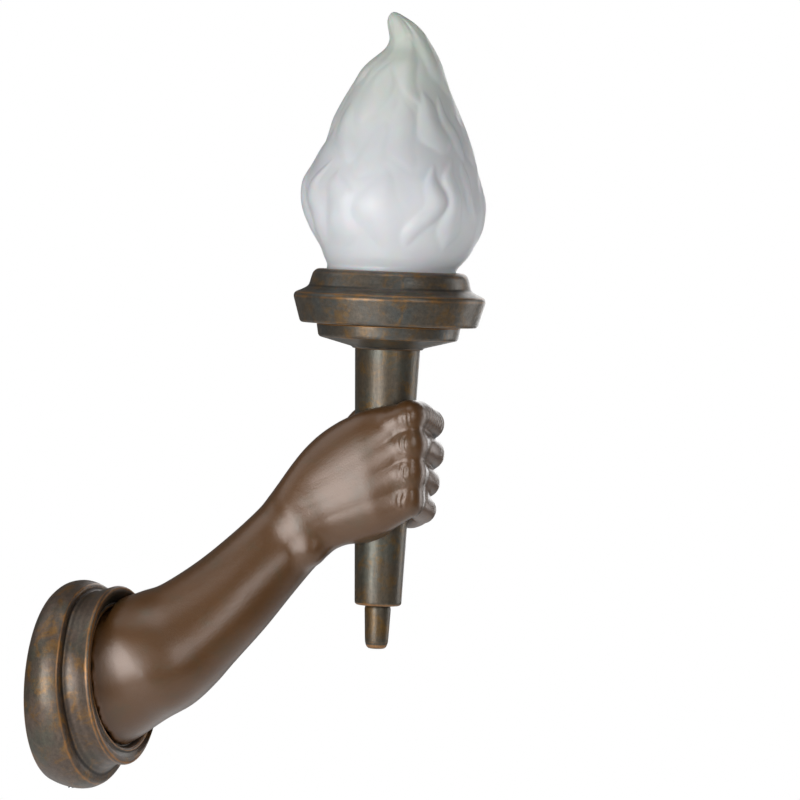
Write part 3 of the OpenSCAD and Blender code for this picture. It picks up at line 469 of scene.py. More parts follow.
def add_bars(field, path):
    """Round bars from row to row of the path (x, y, z, radius): a point's distance is that to the nearest
    point of the line, less the radius there."""
    for start, end in zip(path[:-1], path[1:]):
        a, way = start[:3], end[:3] - start[:3]
        r = max(start[3], end[3])
        cut, (x, y, z) = near(np.minimum(start, end)[:3] - r, np.maximum(start, end)[:3] + r)
        t = np.clip(((x - a[0]) * way[0] + (y - a[1]) * way[1] + (z - a[2]) * way[2]) / (way @ way), 0, 1)
        d = np.sqrt(sum((c - a[i] - t * way[i]) ** 2 for i, c in enumerate((x, y, z))))
        field[cut] = np.minimum(field[cut], d - (start[3] + t * (end[3] - start[3])))
    return field


def add_egg(field, centre, radii):
    """An ellipsoid: its distance is k0 (k0 - 1) / k1, where k0 and k1 are the lengths of the offset from
    the centre divided once and twice by the radii."""
    centre, radii = np.array(centre, float), np.array(radii, float)
    cut, block = near(centre - radii, centre + radii)
    local = [c - at for c, at in zip(block, centre)]
    once = np.sqrt(sum((v / r) ** 2 for v, r in zip(local, radii)))
    twice = np.sqrt(sum((v / r ** 2) ** 2 for v, r in zip(local, radii))) + 1e-6
    field[cut] = np.minimum(field[cut], once * (once - 1) / twice)
    return field


def melt(one, other, width):
    """Joins two masses: the smaller distance, less h^2 width / 4, where h is the share of the width by
    which the two distances differ by less than it."""
    h = np.maximum(width - np.abs(one - other), 0) / width
    return np.minimum(one, other) - h * h * width / 4


def cut_away(one, tool, width):
    """Takes the tool's mass out of the first, with a rounded lip."""
    return -melt(-one, tool, width)


# The forearm and the back of the hand: distance from the wall, x, z, half the width, half the
# thickness, how far the section leans back, and its roundness (2 is an ellipse, more is squarer)
trunk = np.array([
    (30, 8.5, 5, 44, 44, 9, 2), (44, 14.4, 18.8, 42.8, 40, 25, 2.15), (58, 17, 25.4, 40.4, 38.4, 33, 2.35),
    (70, 21.4, 34.2, 37.4, 35.2, 38, 2.3), (80, 27.9, 43.4, 34, 31.8, 43, 2.15),
    (97, 41.5, 62.6, 30.4, 28.4, 47, 2.05), (112, 55, 82.8, 27.5, 25.4, 47, 2),
    (124, 64, 99, 26.1, 22.8, 44, 2.1), (130, 65.9, 106.6, 26.8, 21.6, 41.5, 2.15),
    (136, 66.6, 114, 28, 21.2, 38, 2.2), (143, 67.8, 121.6, 30.9, 19.4, 33, 2.25),
    (150, 69.1, 128, 34, 18.2, 28, 2.3), (158, 69.9, 133.4, 36.7, 17.7, 24, 2.35),
    (166, 70.6, 138, 38.4, 17.4, 20, 2.4), (174, 71.2, 142, 39.2, 16.8, 17, 2.45),
    (182, 72, 145.5, 39.4, 15.8, 14, 2.5), (194, 73.9, 150.5, 37.5, 12.9, 10, 2.6),
    (201, 75.2, 152.5, 35, 11, 9, 2.6)])
sections = smooth_path(trunk, 9)


def swept(sections, shrink=0.0, end=9.0):
    """The trunk: each place belongs to the section whose plane passes through it, found from how far the
    planes lie ahead of it. With u and w the place's offsets there divided by the section's half sizes, and
    v its way past the last section, the distance is (k - 1) k / |(u, w, v) / sizes|, and k the n-th root of
    |u|^n + |w|^n + |v|^n."""
    out_by, up = -axes[1][:, None], axes[2][None]
    lean = np.radians(sections[:, 5])[:, None, None]
    d0, z0 = sections[:, 0][:, None, None], sections[:, 2][:, None, None]
    ahead = (out_by - d0) * np.cos(lean) + (up - z0) * np.sin(lean)
    index = np.clip((ahead > 0).sum(0) - 1, 0, len(sections) - 2)
    first = np.take_along_axis(ahead, index[None], 0)[0]
    second = np.take_along_axis(ahead, index[None] + 1, 0)[0]
    share = np.clip(first / np.maximum(first - second, 1e-6), 0, 1)
    d, x0, z, width, thick, turn, power = (
        sections[index, k] * (1 - share) + sections[index + 1, k] * share for k in range(7))
    turn = np.radians(turn)
    w = -(out_by - d) * np.sin(turn) + (up - z) * np.cos(turn)
    past = np.maximum((out_by - d) * np.cos(turn) + (up - z) * np.sin(turn), 0) * (second > 0)
    width, thick = width - shrink, thick - shrink
    x = axes[0][:, None, None]
    u = np.abs(x - x0) / thick
    w, v = np.abs(w) / width, past / end
    k = (u ** power + w ** power + v ** power) ** (1 / power)
    steep = np.sqrt((u / thick) ** 2 + (w / width) ** 2 + (v / end) ** 2) + 1e-6
    return np.minimum(k * (k - 1) / steep, far).astype(np.float32)


arm_field = swept(sections)

# Knuckles from the first finger to the little one: angle round the torch, reach, height and radius.
# Tendons fan out to them from the wrist, and a ridge joins them
knuckles = np.array([
    (131, 34, 181.5, 8.6), (130, 35.2, 164, 9.4), (130, 34.8, 145.8, 9.2), (131, 33.2, 127.5, 8.4)])
knuckle_places = round_torch(*knuckles[:, :3].T)
wrist_fan = np.array([(66, -142, 131), (62, -141, 123), (60.5, -139, 115), (62, -138, 106)])
tendons = empty_field()
for wrist_end, knuckle_end, knuckle_r in zip(wrist_fan, knuckle_places, knuckles[:, 3]):
    path = [(*wrist_end, 9), (*(0.45 * wrist_end + 0.55 * knuckle_end), 7.5), (*knuckle_end, knuckle_r)]
    add_bars(tendons, smooth_path(path, 4))
ridge = add_bars(empty_field(), smooth_path(np.column_stack([knuckle_places, knuckles[:, 3] - 1.5]), 6))
arm_field = melt(melt(arm_field, tendons, 7), ridge, 5)

# Muscle and bone under the skin: the heel of the hand, the ball of the thumb and the bone at the wrist
heel = add_egg(empty_field(), (82, -171, 112.5), (12, 17, 13))
ball = add_bars(empty_field(), smooth_path(
    [(80, -137, 106, 15), (90, -141, 116, 15.5), (99, -146.5, 130, 13), (104, -149, 143, 11)], 3))
wrist_bone = add_egg(empty_field(), (57.9, -143, 92.6), (9.2, 8.8, 8.6))
arm_field = melt(melt(melt(arm_field, heel, 9), ball, 11), wrist_bone, 8)

# Each finger: angle round the torch, distance beyond the stem's surface, height, radius
fingers = [
    [(150, 9, 178, 7), (131, 14.5, 181.5, 8.7), (111, 9.4, 182, 9.3), (88, 7.8, 178.8, 9.2),
     (64, 9.6, 176, 9.6), (52, 8.7, 174, 9.3), (36, 8.3, 169.8, 8.9), (20, 8.0, 165.8, 8.3),
     (9, 7.3, 163.5, 6.9)],
    [(150, 9, 163, 7), (130, 16.2, 164, 9.3), (110, 9.8, 162, 9.5), (86, 9.2, 159.2, 9.5),
     (61, 11.4, 156.4, 9.7), (48, 8.9, 153.3, 9.1), (27, 8.4, 149, 8.8), (8, 8.0, 145, 8.2),
     (-6, 7.2, 142.3, 6.9)],
    [(150, 9, 145.5, 7), (130, 16, 145.8, 9.1), (110, 9.5, 144, 9.3), (86, 8.2, 141, 9.2),
     (60, 10.2, 138, 9.3), (48, 8.7, 135.6, 8.7), (27, 8.2, 131.4, 8.3), (10, 7.8, 127, 7.7),
     (-2, 7.0, 124.5, 6.5)],
    [(150, 8.5, 128, 6.6), (131, 14.6, 127.5, 8.3), (112, 8.8, 126, 8.6), (90, 7.6, 123.3, 8.5),
     (66, 9.4, 120.6, 8.6), (56, 8.0, 118.6, 7.9), (45, 7.6, 116.6, 7.6), (32, 7.4, 114.6, 7.1),
     (24, 6.9, 113.4, 6.1)]]
hand_field = empty_field()
for finger in fingers:
    angle, beyond, z, radius = np.array(finger, float).T
    path = np.column_stack([round_torch(angle, stem_r(z) + beyond, z), radius])
    hand_field = melt(hand_field, add_bars(empty_field(), smooth_path(path, 3)), 1.6)

# The web of skin between two fingers: angles, reach, drop below the middle of the two knuckles, radius
web_angle, web_reach = np.array([138, 124, 108, 92, 66]), np.array([31, 30, 28, 27, 26.5])
web_drop, web_r = np.array([0, 1, 2.4, 4.5, 7]), np.array([7, 6.5, 5.6, 4.8, 3.4])
webs = empty_field()
for first, second in zip(knuckles[:-1], knuckles[1:]):
    between = (first[2] + second[2]) / 2
    add_bars(webs, np.column_stack([round_torch(web_angle, web_reach, between - web_drop), web_r]))
arm_field = melt(melt(arm_field, hand_field, 3.4), webs, 3)

# The thumb lies up along the stem, on the wall side, and its end bends over to the stem
thumb_path = np.array([
    (99, -146.5, 130, 12), (104.2, -148.4, 143, 10.8), (106.6, -149.2, 153, 9.2), (108, -150.2, 163, 10.1),
    (110.8, -153.2, 172, 10), (115.2, -159, 179.4, 9.2), (119.3, -166, 185.2, 7.6)])
thumb_field = add_bars(empty_field(), smooth_path(thumb_path, 4))
arm_field = melt(arm_field, thumb_field, 5)

# The stem's bore; the flat root, whose plug fits the rose's recess and flares beyond it; and the hollow of
# the casting, with the lead's ways through the root and the palm
stem_gap, plug_r, plug_deep, flare = 0.2, 43.7, 7, 4
casting_wall, hollow_from, hollow_to, hollow_floor = 5, 50, 126, 54
x, y, z = [c.astype(np.float32) for c in np.meshgrid(*axes, indexing="ij", sparse=True)]
bore = np.hypot(x - torch_x, y - torch_y) - (stem_r(z) + stem_gap)
arm_field = cut_away(arm_field, bore, 0.9)
cos_tilt, sin_tilt = math.cos(rose_tilt), math.sin(rose_tilt)
height = -(y + root_out) * cos_tilt + (z - collar_rise) * sin_tilt
side_way = (y + root_out) * sin_tilt + (z - collar_rise) * cos_tilt
from_axis = np.hypot(x - collar_side, side_way)
arm_field = np.maximum(arm_field, -height)
solid_field = np.maximum(arm_field, from_axis - plug_r - flare * np.maximum(height - plug_deep, 0))
core = swept(sections[(sections[:, 0] > hollow_from) & (sections[:, 0] < hollow_to)], casting_wall)
core = np.maximum(core, hollow_floor - (root_out + height))
lead_way = np.array([(9, -30, 6.9, 6), (9.5, -48, 9.8, 6), (16, -60, 27, 6)])
palm_way = np.array([
    (63.5, -124, 100, 4.5), (66.5, -150, 122, 4.5), (64, -177, 141, 4.8), (94, -177, 141, 4.5)])
for way in (lead_way, palm_way):
    core = np.minimum(core, add_bars(empty_field(), way))
arm_field = cut_away(solid_field, core, 1)


def sample(field, places):
    """The field at any place, from the eight grid points round it, each weighed by how near it is."""
    at = [np.interp(places[:, i], a, np.arange(len(a))) for i, a in enumerate(axes)]
    base = [np.clip(v.astype(int), 0, len(a) - 2) for v, a in zip(at, axes)]
    part = [v - b for v, b in zip(at, base)]
    total = np.zeros(len(places))
    for corner in np.ndindex(2, 2, 2):
        weight = np.prod([p if bit else 1 - p for p, bit in zip(part, corner)], 0)
        total += weight * field[tuple(b + bit for b, bit in zip(base, corner))]
    return total


# The skin is drawn where the distance is zero, on the grid's counted steps, and then put in its place
band = 4.0
grid = openvdb.FloatGrid(band)
grid.copyFromArray(np.clip(arm_field, -band, band))
corners_at, quads = grid.convertToQuads(0.0)
steps_at = [np.arange(len(a)) for a in axes]
skin = np.stack([np.interp(corners_at[:, i], steps_at[i], axes[i]) for i in range(3)], -1)
mesh = bpy.data.meshes.new("arm_casting")
mesh.from_pydata((skin * MM).tolist(), [], quads.astype(int).tolist())
mesh.validate()
volume = np.einsum("ij,ij->i", skin[quads[:, 0]], np.cross(skin[quads[:, 1]], skin[quads[:, 2]])).sum()
if volume < 0:
    mesh.flip_normals()
mesh.update()
outward = np.empty(3 * len(mesh.vertices), np.float32)
mesh.vertices.foreach_get("normal", outward)
outward = outward.reshape(-1, 3).astype(float)

# Creases and nails, in a frame unrolled round the torch: how far round, in degrees, and the height
reach = np.hypot(skin[:, 0] - torch_x, skin[:, 1] - torch_y)
angle_at = np.degrees(np.arctan2(-(skin[:, 1] - torch_y), skin[:, 0] - torch_x))
away = outward[:, 0] * (skin[:, 0] - torch_x) + outward[:, 1] * (skin[:, 1] - torch_y)
facing_out = np.clip(away / np.maximum(reach, 1), 0, 1)
outer = np.clip((reach - stem_r(skin[:, 2]) - 6) / 4, 0, 1) * facing_out ** 0.5


def groove(along, across, half_length, width):
    """A furrow: exp(-(along / width)^2), fading out at its two ends."""
    ends = np.clip((half_length - np.abs(across)) / (0.45 * half_length), 0, 1)
    return np.exp(-(along / width) ** 2) * ends * ends * (3 - 2 * ends)


lift = np.zeros(len(skin))
# The creases' own marks, from which painted shade darkens them in the colour
crease_shade = np.zeros(len(skin))
# Angle and height of each crease's middle, its half length, depth, half width, slope and bow
finger_creases = [
    (72, 177.6, 7.5, 0.85, 1.1, 0.14, 0.06), (66.5, 176.9, 8.5, 0.95, 1.15, 0, -0.03),
    (41.5, 170.6, 7, 0.75, 1.0, 0.08, 0.05), (36, 169.7, 7.5, 0.85, 1.1, -0.02, 0),
    (31, 168.6, 6, 0.5, 0.9, -0.05, -0.03), (63, 156.3, 7.5, 0.9, 1.1, 0.12, 0.07),
    (55.5, 155, 8, 0.95, 1.15, -0.04, -0.05), (30.5, 149.5, 6.5, 0.7, 1.0, 0.1, 0.07),
    (25.5, 148.6, 6.5, 0.75, 1.0, -0.08, -0.06), (61, 138.2, 7, 0.8, 1.1, 0.1, 0.06),
    (53.5, 137, 7.5, 0.9, 1.1, -0.04, -0.05), (29.5, 132.1, 6, 0.65, 1.0, 0.08, 0.06),
    (24, 130.9, 6.5, 0.75, 1.0, -0.05, -0.05), (71, 120.5, 6, 0.7, 1.0, 0.08, 0.04),
    (65, 119.9, 6.5, 0.75, 1.0, -0.04, -0.04), (50.5, 117.6, 5.5, 0.65, 0.9, 0.07, 0.04),
    (45.5, 116.7, 6, 0.7, 0.95, -0.04, -0.03)]
for angle, z_at, half_length, depth, width, slope, bow in finger_creases:
    across = skin[:, 2] - z_at
    along = np.radians(angle_at - angle) * reach - slope * across - bow * across ** 2 / 3
    furrow = groove(along, across, half_length, width) * outer
    lift -= depth * furrow
    crease_shade = np.maximum(crease_shade, furrow)

# Knuckle wrinkles on the back of the hand: distance from the wall, height, half length, depth, slope, bow
back_side = np.clip(-outward[:, 0] * 1.6, 0, 1) * (skin[:, 0] < 80)
knuckle_creases = [
    (202.6, 180.8, 4.6, 0.26, 0.25, 0.03), (205.4, 180, 5.2, 0.34, 0.12, 0.02),
    (200.4, 164.6, 5.4, 0.3, 0.12, 0.05), (203.4, 164.4, 6.2, 0.42, 0.02, 0.045),
    (200.8, 146.6, 5.2, 0.3, 0.1, 0.05), (203.6, 146, 6.2, 0.4, 0, 0.045),
    (206.2, 146.4, 3.6, 0.2, -0.05, 0.03), (200.8, 128.2, 5, 0.3, 0.02, 0.05),
    (203.6, 127.8, 5.6, 0.4, -0.1, 0.04)]
for out_at, z_at, half_length, depth, slope, bow in knuckle_creases:
    across = skin[:, 2] - z_at
    along = -skin[:, 1] - out_at + slope * across - bow * across ** 2
    furrow = groove(along, across, half_length, 0.75) * back_side
    roll = groove(along - 1.5, across, 0.9 * half_length, 1.1) * back_side
    lift += depth * (0.3 * roll - furrow)
    crease_shade = np.maximum(crease_shade, 0.6 * furrow)

# Fine folds over the first finger beyond its knuckle (x, depth), and across the thumb's two joints
# (height, depth, width, slope)
front_side = np.clip(-outward[:, 1] * 1.5, 0, 1)
first_finger_z = 180
for x_at, depth in ((82, 0.3), (86, 0.35), (90.5, 0.4), (95, 0.35), (99, 0.3)):
    across = skin[:, 2] - first_finger_z
    lift -= depth * groove(skin[:, 0] - x_at - 0.12 * across, across, 8, 0.7) * front_side
thumb_side = (skin[:, 1] > -172) & (skin[:, 0] > 92) & (skin[:, 2] > 120)
thumb_side = thumb_side * np.clip(outward[:, 0] * 1.4, 0, 1)
thumb_creases = [
    (161, 0.8, 0.9, 0.35), (163.6, 0.45, 0.8, 0.3), (133, 0.9, 1.0, 0.25), (136, 0.5, 0.8, 0.25)]
for z_at, depth, width, slope in thumb_creases:
    along = skin[:, 2] - z_at - slope * (skin[:, 1] + 150)
    furrow = groove(along, skin[:, 1] + 152, 14, width) * thumb_side
    lift -= depth * furrow
    crease_shade = np.maximum(crease_shade, furrow)

# Nails: angle and height of the middle, half length, half width, slope of the finger there, and whether
# it points up, as the thumb's does. The plate stands a little proud, with a furrow round it
nails = [(15.5, 164.9, 6.2, 5.6, 0.28, False), (2, 143.9, 6.0, 5.4, 0.27, False),
         (5, 126.0, 5.8, 5.2, 0.27, False), (31, 114.6, 5.2, 4.6, 0.2, False),
         (-37, 181.5, 7.2, 6.4, 0, True)]
for angle, z_at, half_length, half_width, slope, points_up in nails:
    along = np.radians(angle_at - angle) * reach
    across = skin[:, 2] - z_at - slope * along
    if points_up:
        along, across = -across, along
    rim = ((np.abs(along) / half_length) ** 5 + (np.abs(across) / half_width) ** 5) ** 0.2
    plate = np.clip((1.0 - rim) / 0.1, 0, 1)
    free_end = np.clip((-along / half_length - 0.2) / 0.6, 0, 1)
    furrow = np.exp(-((rim - 1.08) / 0.1) ** 2) * (1 - 0.8 * free_end)
    lift += outer * (0.4 * plate - 0.85 * furrow)
    crease_shade = np.maximum(crease_shade, furrow * outer)

skin = skin + outward * lift[:, None]
mesh.vertices.foreach_set("co", (skin * MM).astype(np.float32).ravel())

# How hollow or how proud each place is, from the distance field 3 mm above and below the skin. The
# hollow measure, with the creases added, is painted shade in the colour; the proud one is rubbed bronze.
feel = 3.0
above = sample(solid_field, skin + outward * feel)
below = sample(solid_field, skin - outward * feel)
hollow = np.clip(np.clip((feel - above) / feel, 0, 1) + 0.3 * crease_shade, 0, 1)
proud = np.clip((feel + below) / feel, 0, 1)
for key, values in (("hollow", hollow), ("proud", proud)):
    mesh.attributes.new(key, "FLOAT", "POINT").data.foreach_set("value", values.astype(np.float32))
mesh.polygons.foreach_set("use_smooth", np.ones(len(mesh.polygons), bool))
mesh.update()
arm = bpy.data.objects.new("arm_casting", mesh)
bpy.context.scene.collection.objects.link(arm)

# Clouds of 42 mm, patches of 14 mm, and the same grain as on the rose
brown_cloud_scale, brown_patch_scale = 24, 70
brown, tree, out = new_material("waxed_brown_bronze")
place = add_node(tree, "TexCoord").outputs["Object"]
cloud = add_node(tree, "TexNoise", None,
                 {"Vector": place, "Scale": brown_cloud_scale, "Detail": 5, "Roughness": 0.6})
patch = add_node(tree, "TexNoise", None, {
    "Vector": place, "Scale": brown_patch_scale, "Detail": 6, "Roughness": 0.65, "Distortion": 0.5})
grain = add_node(tree, "TexNoise", None,
                 {"Vector": place, "Scale": grain_scale, "Detail": 4, "Roughness": 0.65})
hollow_at = add_node(tree, "Attribute", {"attribute_name": "hollow"}).outputs["Fac"]
proud_at = add_node(tree, "Attribute", {"attribute_name": "proud"}).outputs["Fac"]
ground = add_node(tree, "Mix", as_colours,
                  {0: cloud.outputs["Fac"], 6: to_linear("#4b3013"), 7: to_linear("#5c3b19")})
green_part = add_node(tree, "MapRange", soft_step,
                      {"Value": patch.outputs["Fac"], "From Min": 0.5, "From Max": 0.78, "To Max": 0.55})
greened = add_node(tree, "Mix", as_colours,
                   {0: green_part.outputs["Result"], 6: ground.outputs[2], 7: to_linear("#43381f")})
rubbed_part = add_node(tree, "MapRange", soft_step,
                       {"Value": proud_at, "From Min": 0.1, "From Max": 0.5, "To Max": 0.5})
rubbed = add_node(tree, "Mix", as_colours,
                  {0: rubbed_part.outputs["Result"], 6: greened.outputs[2], 7: to_linear("#6f451b")})
# Painted shade: the colour darkens towards near black in creases and hollows
painted_shade_part = add_node(tree, "MapRange", soft_step,
                     {"Value": hollow_at, "From Min": 0.1, "From Max": 0.75, "To Max": 0.85})
with_painted_shade = add_node(tree, "Mix", as_colours,
                {0: painted_shade_part.outputs["Result"], 6: rubbed.outputs[2], 7: to_linear("#170f09")})
rough = add_node(tree, "MapRange", None, {
    "Value": patch.outputs["Fac"], "From Min": 0.3, "From Max": 0.7, "To Min": 0.36, "To Max": 0.46})
relief = add_node(tree, "Bump", None,
                  {"Height": grain.outputs["Fac"], "Strength": 0.4, "Distance": 0.0003})
surface = add_node(tree, "BsdfPrincipled", None, {
    "Base Color": with_painted_shade.outputs[2], "Metallic": 0.2, "Roughness": rough.outputs["Result"],
    "Specular IOR Level": 0.2, "Coat Weight": 0.95, "Coat Roughness": 0.29, "Coat IOR": 1.55,
    "Normal": relief.outputs["Normal"], "Coat Normal": relief.outputs["Normal"]})
tree.links.new(surface.outputs[0], out.inputs["Surface"])
mesh.materials.append(brown)
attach(arm, "fixture")
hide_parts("arm")

# ---- Torch: stem, finial and cup ----
# Bronze turnings with the same patina as the rose, brushed along the stem and round the cup, with the
# copper rubbed bare on their sharp edges. The rod inside pulls finial, stem and cup together.


def turning(name, corners, radii, gap, sides=128):
    """A turned piece round the torch's axis: the rounded outline of (radius, height) swept round it."""
    outline, bend = filled(*rounded(corners, radii), gap)
    a = np.linspace(0, 2 * np.pi, sides, endpoint=False)
    r, z = outline[:, :1], outline[:, 1:2]
    flat = np.ones(sides)
    points = np.stack([torch_x + r * np.cos(a), torch_y + r * np.sin(a), z * flat], -1)
    return join_grid(name, points, True, {"bend": bend[:, None] * flat})


stem_patina = patina("brushed_bronze_stem", "#4f4537", "#484a42", "#694c1b", "#94683a", (330, 330, 30))
cup_patina = patina("brushed_bronze_cup", "#50483d", "#474a48", "#6b4f26", "#9a6a30", (110, 110, 330))
rod_hole = 5.2
stem = turning("torch_stem_tube", [
    (rod_hole, 58), (15.05, 58), (21.0, 222.9), (rod_hole, 222.9), (rod_hole, 219), (18, 219), (12, 62),
    (rod_hole, 62)], [0.3, 2.4, 0.3, 0.3, 0.3, 1, 1, 0.3], 4)
finial = turning("torch_finial_turning", [
    (0.05, 30.0), (7.3, 30.0), (8.5, 56.0), (7.9, 58), (5.05, 58), (5.05, 45.5), (0.05, 45.5)],
    [0.02, 6.6, 0.8, 0.5, 0.2, 0.2, 0.02], 1.5, 64)
cup = turning("torch_cup_casting", [
    (rod_hole, 223), (22.4, 223), (23.4, 224.2), (44.2, 229.7), (45.1, 231), (46.3, 238), (45.2, 238.5),
    (56.2, 238.5), (57.3, 239.6), (61.9, 255.4), (61.0, 257.8), (55.4, 260.2), (52.4, 262.2), (51.6, 264.6),
    (50.9, 267.4), (49.8, 271), (47.2, 273.3), (42.7, 273.3), (42.6, 265.4), (36.6, 265.4), (36.6, 261.4),
    (52.6, 258.4), (52.6, 243), (41.9, 243), (40.9, 235.6), (rod_hole, 235.6)], [
    0.3, 0.6, 0.8, 1.0, 1.2, 0.9, 0.3, 0.9, 1.2, 1.8, 2.2, 3, 1.6, 1.2, 1.6, 2.2, 2.4, 0.6, 0.4, 0.4, 0.6,
    2, 2, 1, 1, 0.3], 2)
for piece, node, material in ((stem, "torch_stem", stem_patina), (finial, "torch_finial", stem_patina),
                              (cup, "torch_cup", cup_patina)):
    piece.data.materials.append(material)
    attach(piece, "fixture")
    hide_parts(node)

# ---- Lampholder and bulb ----
# A black phenolic screw-cap lampholder on the rod's end, with a glazed porcelain seat for its brass
# contacts, and an opal glass bulb whose nickel-plated cap screws into it.
phenolic = hardware("moulded_phenolic", "#1b1917", "#262320", 0.0, 0.38, 0.9, 0.01)
porcelain = hardware("glazed_porcelain", "#f0ede4", "#e4e0d4", 0.0, 0.2, 2.5, 0.01)
nickel = hardware("nickel_plated_cap", "#cfcdc6", "#aeaba2", 1.0, 0.25, 1.0, 0.01)
finish(["holder_cap", "holder_body"], phenolic)
finish(["holder_insert"], porcelain)
finish(["bulb_cap"], nickel)
opal, tree, out = new_material("opal_bulb_glass")
place = add_node(tree, "TexCoord").outputs["Object"]
haze = add_node(tree, "TexNoise", None, {"Vector": place, "Scale": 60, "Detail": 3})
milk = add_node(tree, "Mix", as_colours,
                {0: haze.outputs["Fac"], 6: to_linear("#f4f3ee"), 7: to_linear("#e9e8e2")})
surface = add_node(tree, "BsdfPrincipled", None, {
    "Base Color": milk.outputs[2], "Roughness": 0.3, "IOR": 1.5, "Subsurface Weight": 0.3,
    "Subsurface Scale": 0.004})
tree.links.new(surface.outputs[0], out.inputs["Surface"])
finish(["bulb_glass", "bulb_stem"], opal)

# ---- Flame shade ----
# Mould-blown glass, acid-frosted to a white satin with a faint green tint where the glass is thick.
# Its folds are leaf-shaped tongues that overlap and lean round the flame, up to a hooked tip.
rim_z, glass_top, glass_wall = 273.4, 439.2, 2.6
# Height, half the width there, and how far the section shifts towards the photograph's right
flame_outline = np.array([
    (266.9, 41.7, 0), (271, 41.6, 0), (274.5, 41.6, 0.6), (277, 42.4, 1.2), (282, 46, 2.2), (288, 49.6, 3),
    (298, 54.4, 2.4), (308, 57.4, 1.6), (318, 58.6, 0.8), (329, 57.2, 0), (339, 53.9, 1), (349, 49.9, 1.3),
    (359, 45.3, 1.6), (370, 41.2, 1.2), (380, 37, 1.6), (390, 32.4, 2), (400, 28, 2.9), (406, 24.6, 4.4),
    (411, 20.6, 6), (416, 16.2, 7.2), (421, 13.3, 6.6), (426, 11.8, 4.6), (431, 9.4, 1.6), (435.5, 6, -1.6),
    (438.4, 2.6, -3.4), (439.2, 0.4, -4)])
# Each tongue: the angle of its middle, in degrees from +x; its lowest and highest point; half its
# width; how far it leans round from its foot to its tip and how far it bows, in degrees; its height
tongues = np.array([
    (243, 287, 347, 10, 8, 3, 2.3), (262, 293, 346, 7, -12, 3, 2.0), (223, 288, 343, 11, 22, -4, 2.1),
    (233, 348, 388, 14, -6, 3, 2.6), (160, 284, 338, 15, 8, -10, 2.1), (139, 283, 344, 13, 10, 3, 2.0),
    (194, 282, 340, 19, -8, 5, 1.7), (184, 332, 368, 15, 14, -4, 1.8), (207, 336, 384, 12, -8, 4, 1.6),
    (153, 340, 380, 14, -18, 4, 2.1), (254, 345, 386, 9, -10, 3, 2.2), (274, 336, 380, 10, -8, 0, 2.0),
    (176, 366, 408, 13, 16, 5, 1.9), (210, 376, 424, 9, -30, 6, 1.9), (252, 382, 433, 10, -58, 6, 2.1),
    (40, 343, 389, 15, -10, 12, 2.3), (65, 283, 348, 12, -16, 6, 2.3), (84, 286, 342, 10, -12, 0, 2.0),
    (49, 296, 314, 5.5, 4, 0, 1.9), (33, 288, 344, 11, 10, 0, 1.8), (347, 343, 392, 14, -28, 0, 1.9),
    (347, 310, 352, 15, -34, 0, 2.0), (320, 318, 368, 12, -26, 0, 2.0), (342, 282, 324, 15, -18, 0, 1.8),
    (12, 282, 332, 14, 6, 0, 1.7), (22, 330, 394, 11, 4, 3, 1.6), (68, 344, 388, 10, -6, 3, 2.0),
    (54, 382, 420, 9, 24, 0, 1.9), (350, 388, 437, 14, 30, 0, 1.5), (112, 285, 356, 15, -8, 4, 2.4),
    (110, 352, 402, 13, 12, -3, 2.2), (128, 384, 424, 11, 20, 0, 1.9), (296, 284, 340, 13, -8, 0, 2.1),
    (300, 336, 394, 11, 8, -3, 2.1), (90, 388, 430, 9, 20, 0, 1.6)])
rings = smooth_path(flame_outline, 7)
turn_at = np.linspace(0, 2 * np.pi, 288, endpoint=False)


def ramp(value, start, end):
    """A smooth step from 0 at start to 1 at end: t^2 (3 - 2t)."""
    t = np.clip((value - start) / (end - start), 0, 1)
    return t * t * (3 - 2 * t)


# Tongues stand up 1.2 times their height and meet within 0.7 mm; the ground between them lies 1.75 mm
# inside the outline. All of it gets less towards the tip, where the radius is under 22 mm
tongue_lift, meeting, sunk, full_r, least = 1.2, 0.7, 1.75, 22, 0.35


def folded(rings):
    """The flame's radius with its folds. A tongue stands up by its height times (1 - u^2)^1.1, where u is
    the distance from its middle line over half its width there, and that width is sin(pi t^0.8)^0.7 of
    the full one at the share t of its length. The highest tongue counts, meeting its neighbour in a
    rounded fold, over a slow swell with a finer ripple."""
    z, r = rings[:, :1], rings[:, 1:2]
    h = (z - rim_z) / (glass_top - rim_z)
    a = turn_at[None]
    a = a + 0.05 * np.sin(3 * a + 21 * h) + 0.035 * np.sin(5 * a - 34 * h)
    stands = np.zeros(np.broadcast(z, a).shape)
    slimmer = np.clip(r / full_r, least, 1)
    for middle, foot, tip, half, leans, bows, height in tongues:
        t = np.clip((z - foot) / (tip - foot), 1e-4, 1 - 1e-4)
        line = np.radians(middle + leans * (t - 0.5) + bows * (4 * (t - 0.5) ** 2 - 0.5))
        off = (a - line + np.pi) % (2 * np.pi) - np.pi
        width = half * np.sin(np.pi * t ** 0.8) ** 0.7
        u = off * r / width
        rise = tongue_lift * height * np.clip(1 - u * u, 0, 1) ** 1.1 * np.sin(np.pi * t) ** 0.5 * slimmer
        meet = np.maximum(meeting - np.abs(stands - rise), 0) / meeting
        stands = np.maximum(stands, rise) + meet * meet * meeting / 4
    swell = 0.35 * np.sin(3 * a + 7 * h) + 0.25 * np.sin(5 * a - 11 * h + 2)
    swell = swell + 0.16 * np.sin(13 * a + 19 * h + 1.5 * np.sin(9 * h + 2 * a)) * np.sin(4 * a - 15 * h)
    fade = ramp(h, 0.02, 0.12) * (1 - ramp(h, 0.95, 1))
    return r + fade * (stands + swell - sunk * slimmer)


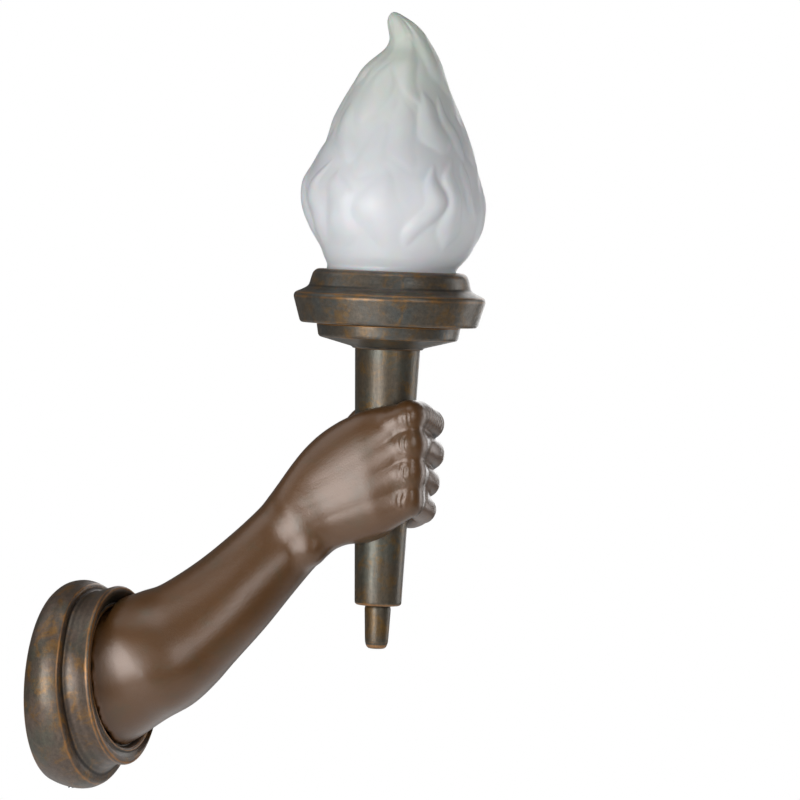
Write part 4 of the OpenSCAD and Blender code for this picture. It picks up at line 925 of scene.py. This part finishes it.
def glass_points(rings, radius):
    """The sections' places: each is shifted along the photograph's right by its own amount."""
    shift = rings[:, 2:3]
    side = (math.cos(view_azimuth), math.sin(view_azimuth))
    return np.stack([
        torch_x + shift * side[0] + radius * np.cos(turn_at),
        torch_y + shift * side[1] + radius * np.sin(turn_at), rings[:, :1] + 0 * radius], -1)


inner_rings = rings[(rings[:, 1] > 8) | (rings[:, 0] < 300)][::-1]
inner_radius = np.maximum(folded(inner_rings) - glass_wall, 1)
shell = np.vstack([glass_points(inner_rings, inner_radius), glass_points(rings, folded(rings))])
shade = join_grid("flame_glass", shell, False)

frosted, tree, out = new_material("acid_frosted_glass")
place = add_node(tree, "TexCoord").outputs["Object"]
height_at = add_node(tree, "SeparateXYZ", None, {"Vector": place}).outputs["Z"]
upper = add_node(tree, "MapRange", soft_step,
                 {"Value": height_at, "From Min": 0.335, "From Max": 0.43})
cloud = add_node(tree, "TexNoise", None, {"Vector": place, "Scale": 45, "Detail": 3})
satin = add_node(tree, "Mix", as_colours,
                 {0: cloud.outputs["Fac"], 6: to_linear("#cfd1d5"), 7: to_linear("#d8dadd")})
tinted = add_node(tree, "Mix", as_colours,
                  {0: upper.outputs["Result"], 6: satin.outputs[2], 7: to_linear("#dce2da")})
clear = add_node(tree, "MapRange", soft_step,
                 {"Value": height_at, "From Min": 0.3, "From Max": 0.44, "To Min": 0.15, "To Max": 0.42})
etch = add_node(tree, "TexNoise", None, {"Vector": place, "Scale": 1600, "Detail": 2})
relief = add_node(tree, "Bump", None,
                  {"Height": etch.outputs["Fac"], "Strength": 0.1, "Distance": 0.0001})
surface = add_node(tree, "BsdfPrincipled", None, {
    "Base Color": tinted.outputs[2], "Roughness": 0.42, "IOR": 1.5, "Subsurface Weight": 0.35,
    "Transmission Weight": clear.outputs["Result"], "Subsurface Scale": 0.004,
    "Normal": relief.outputs["Normal"]})
tree.links.new(surface.outputs[0], out.inputs["Surface"])
shade.data.materials.append(frosted)
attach(shade, "shade")
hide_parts("flame_shade")
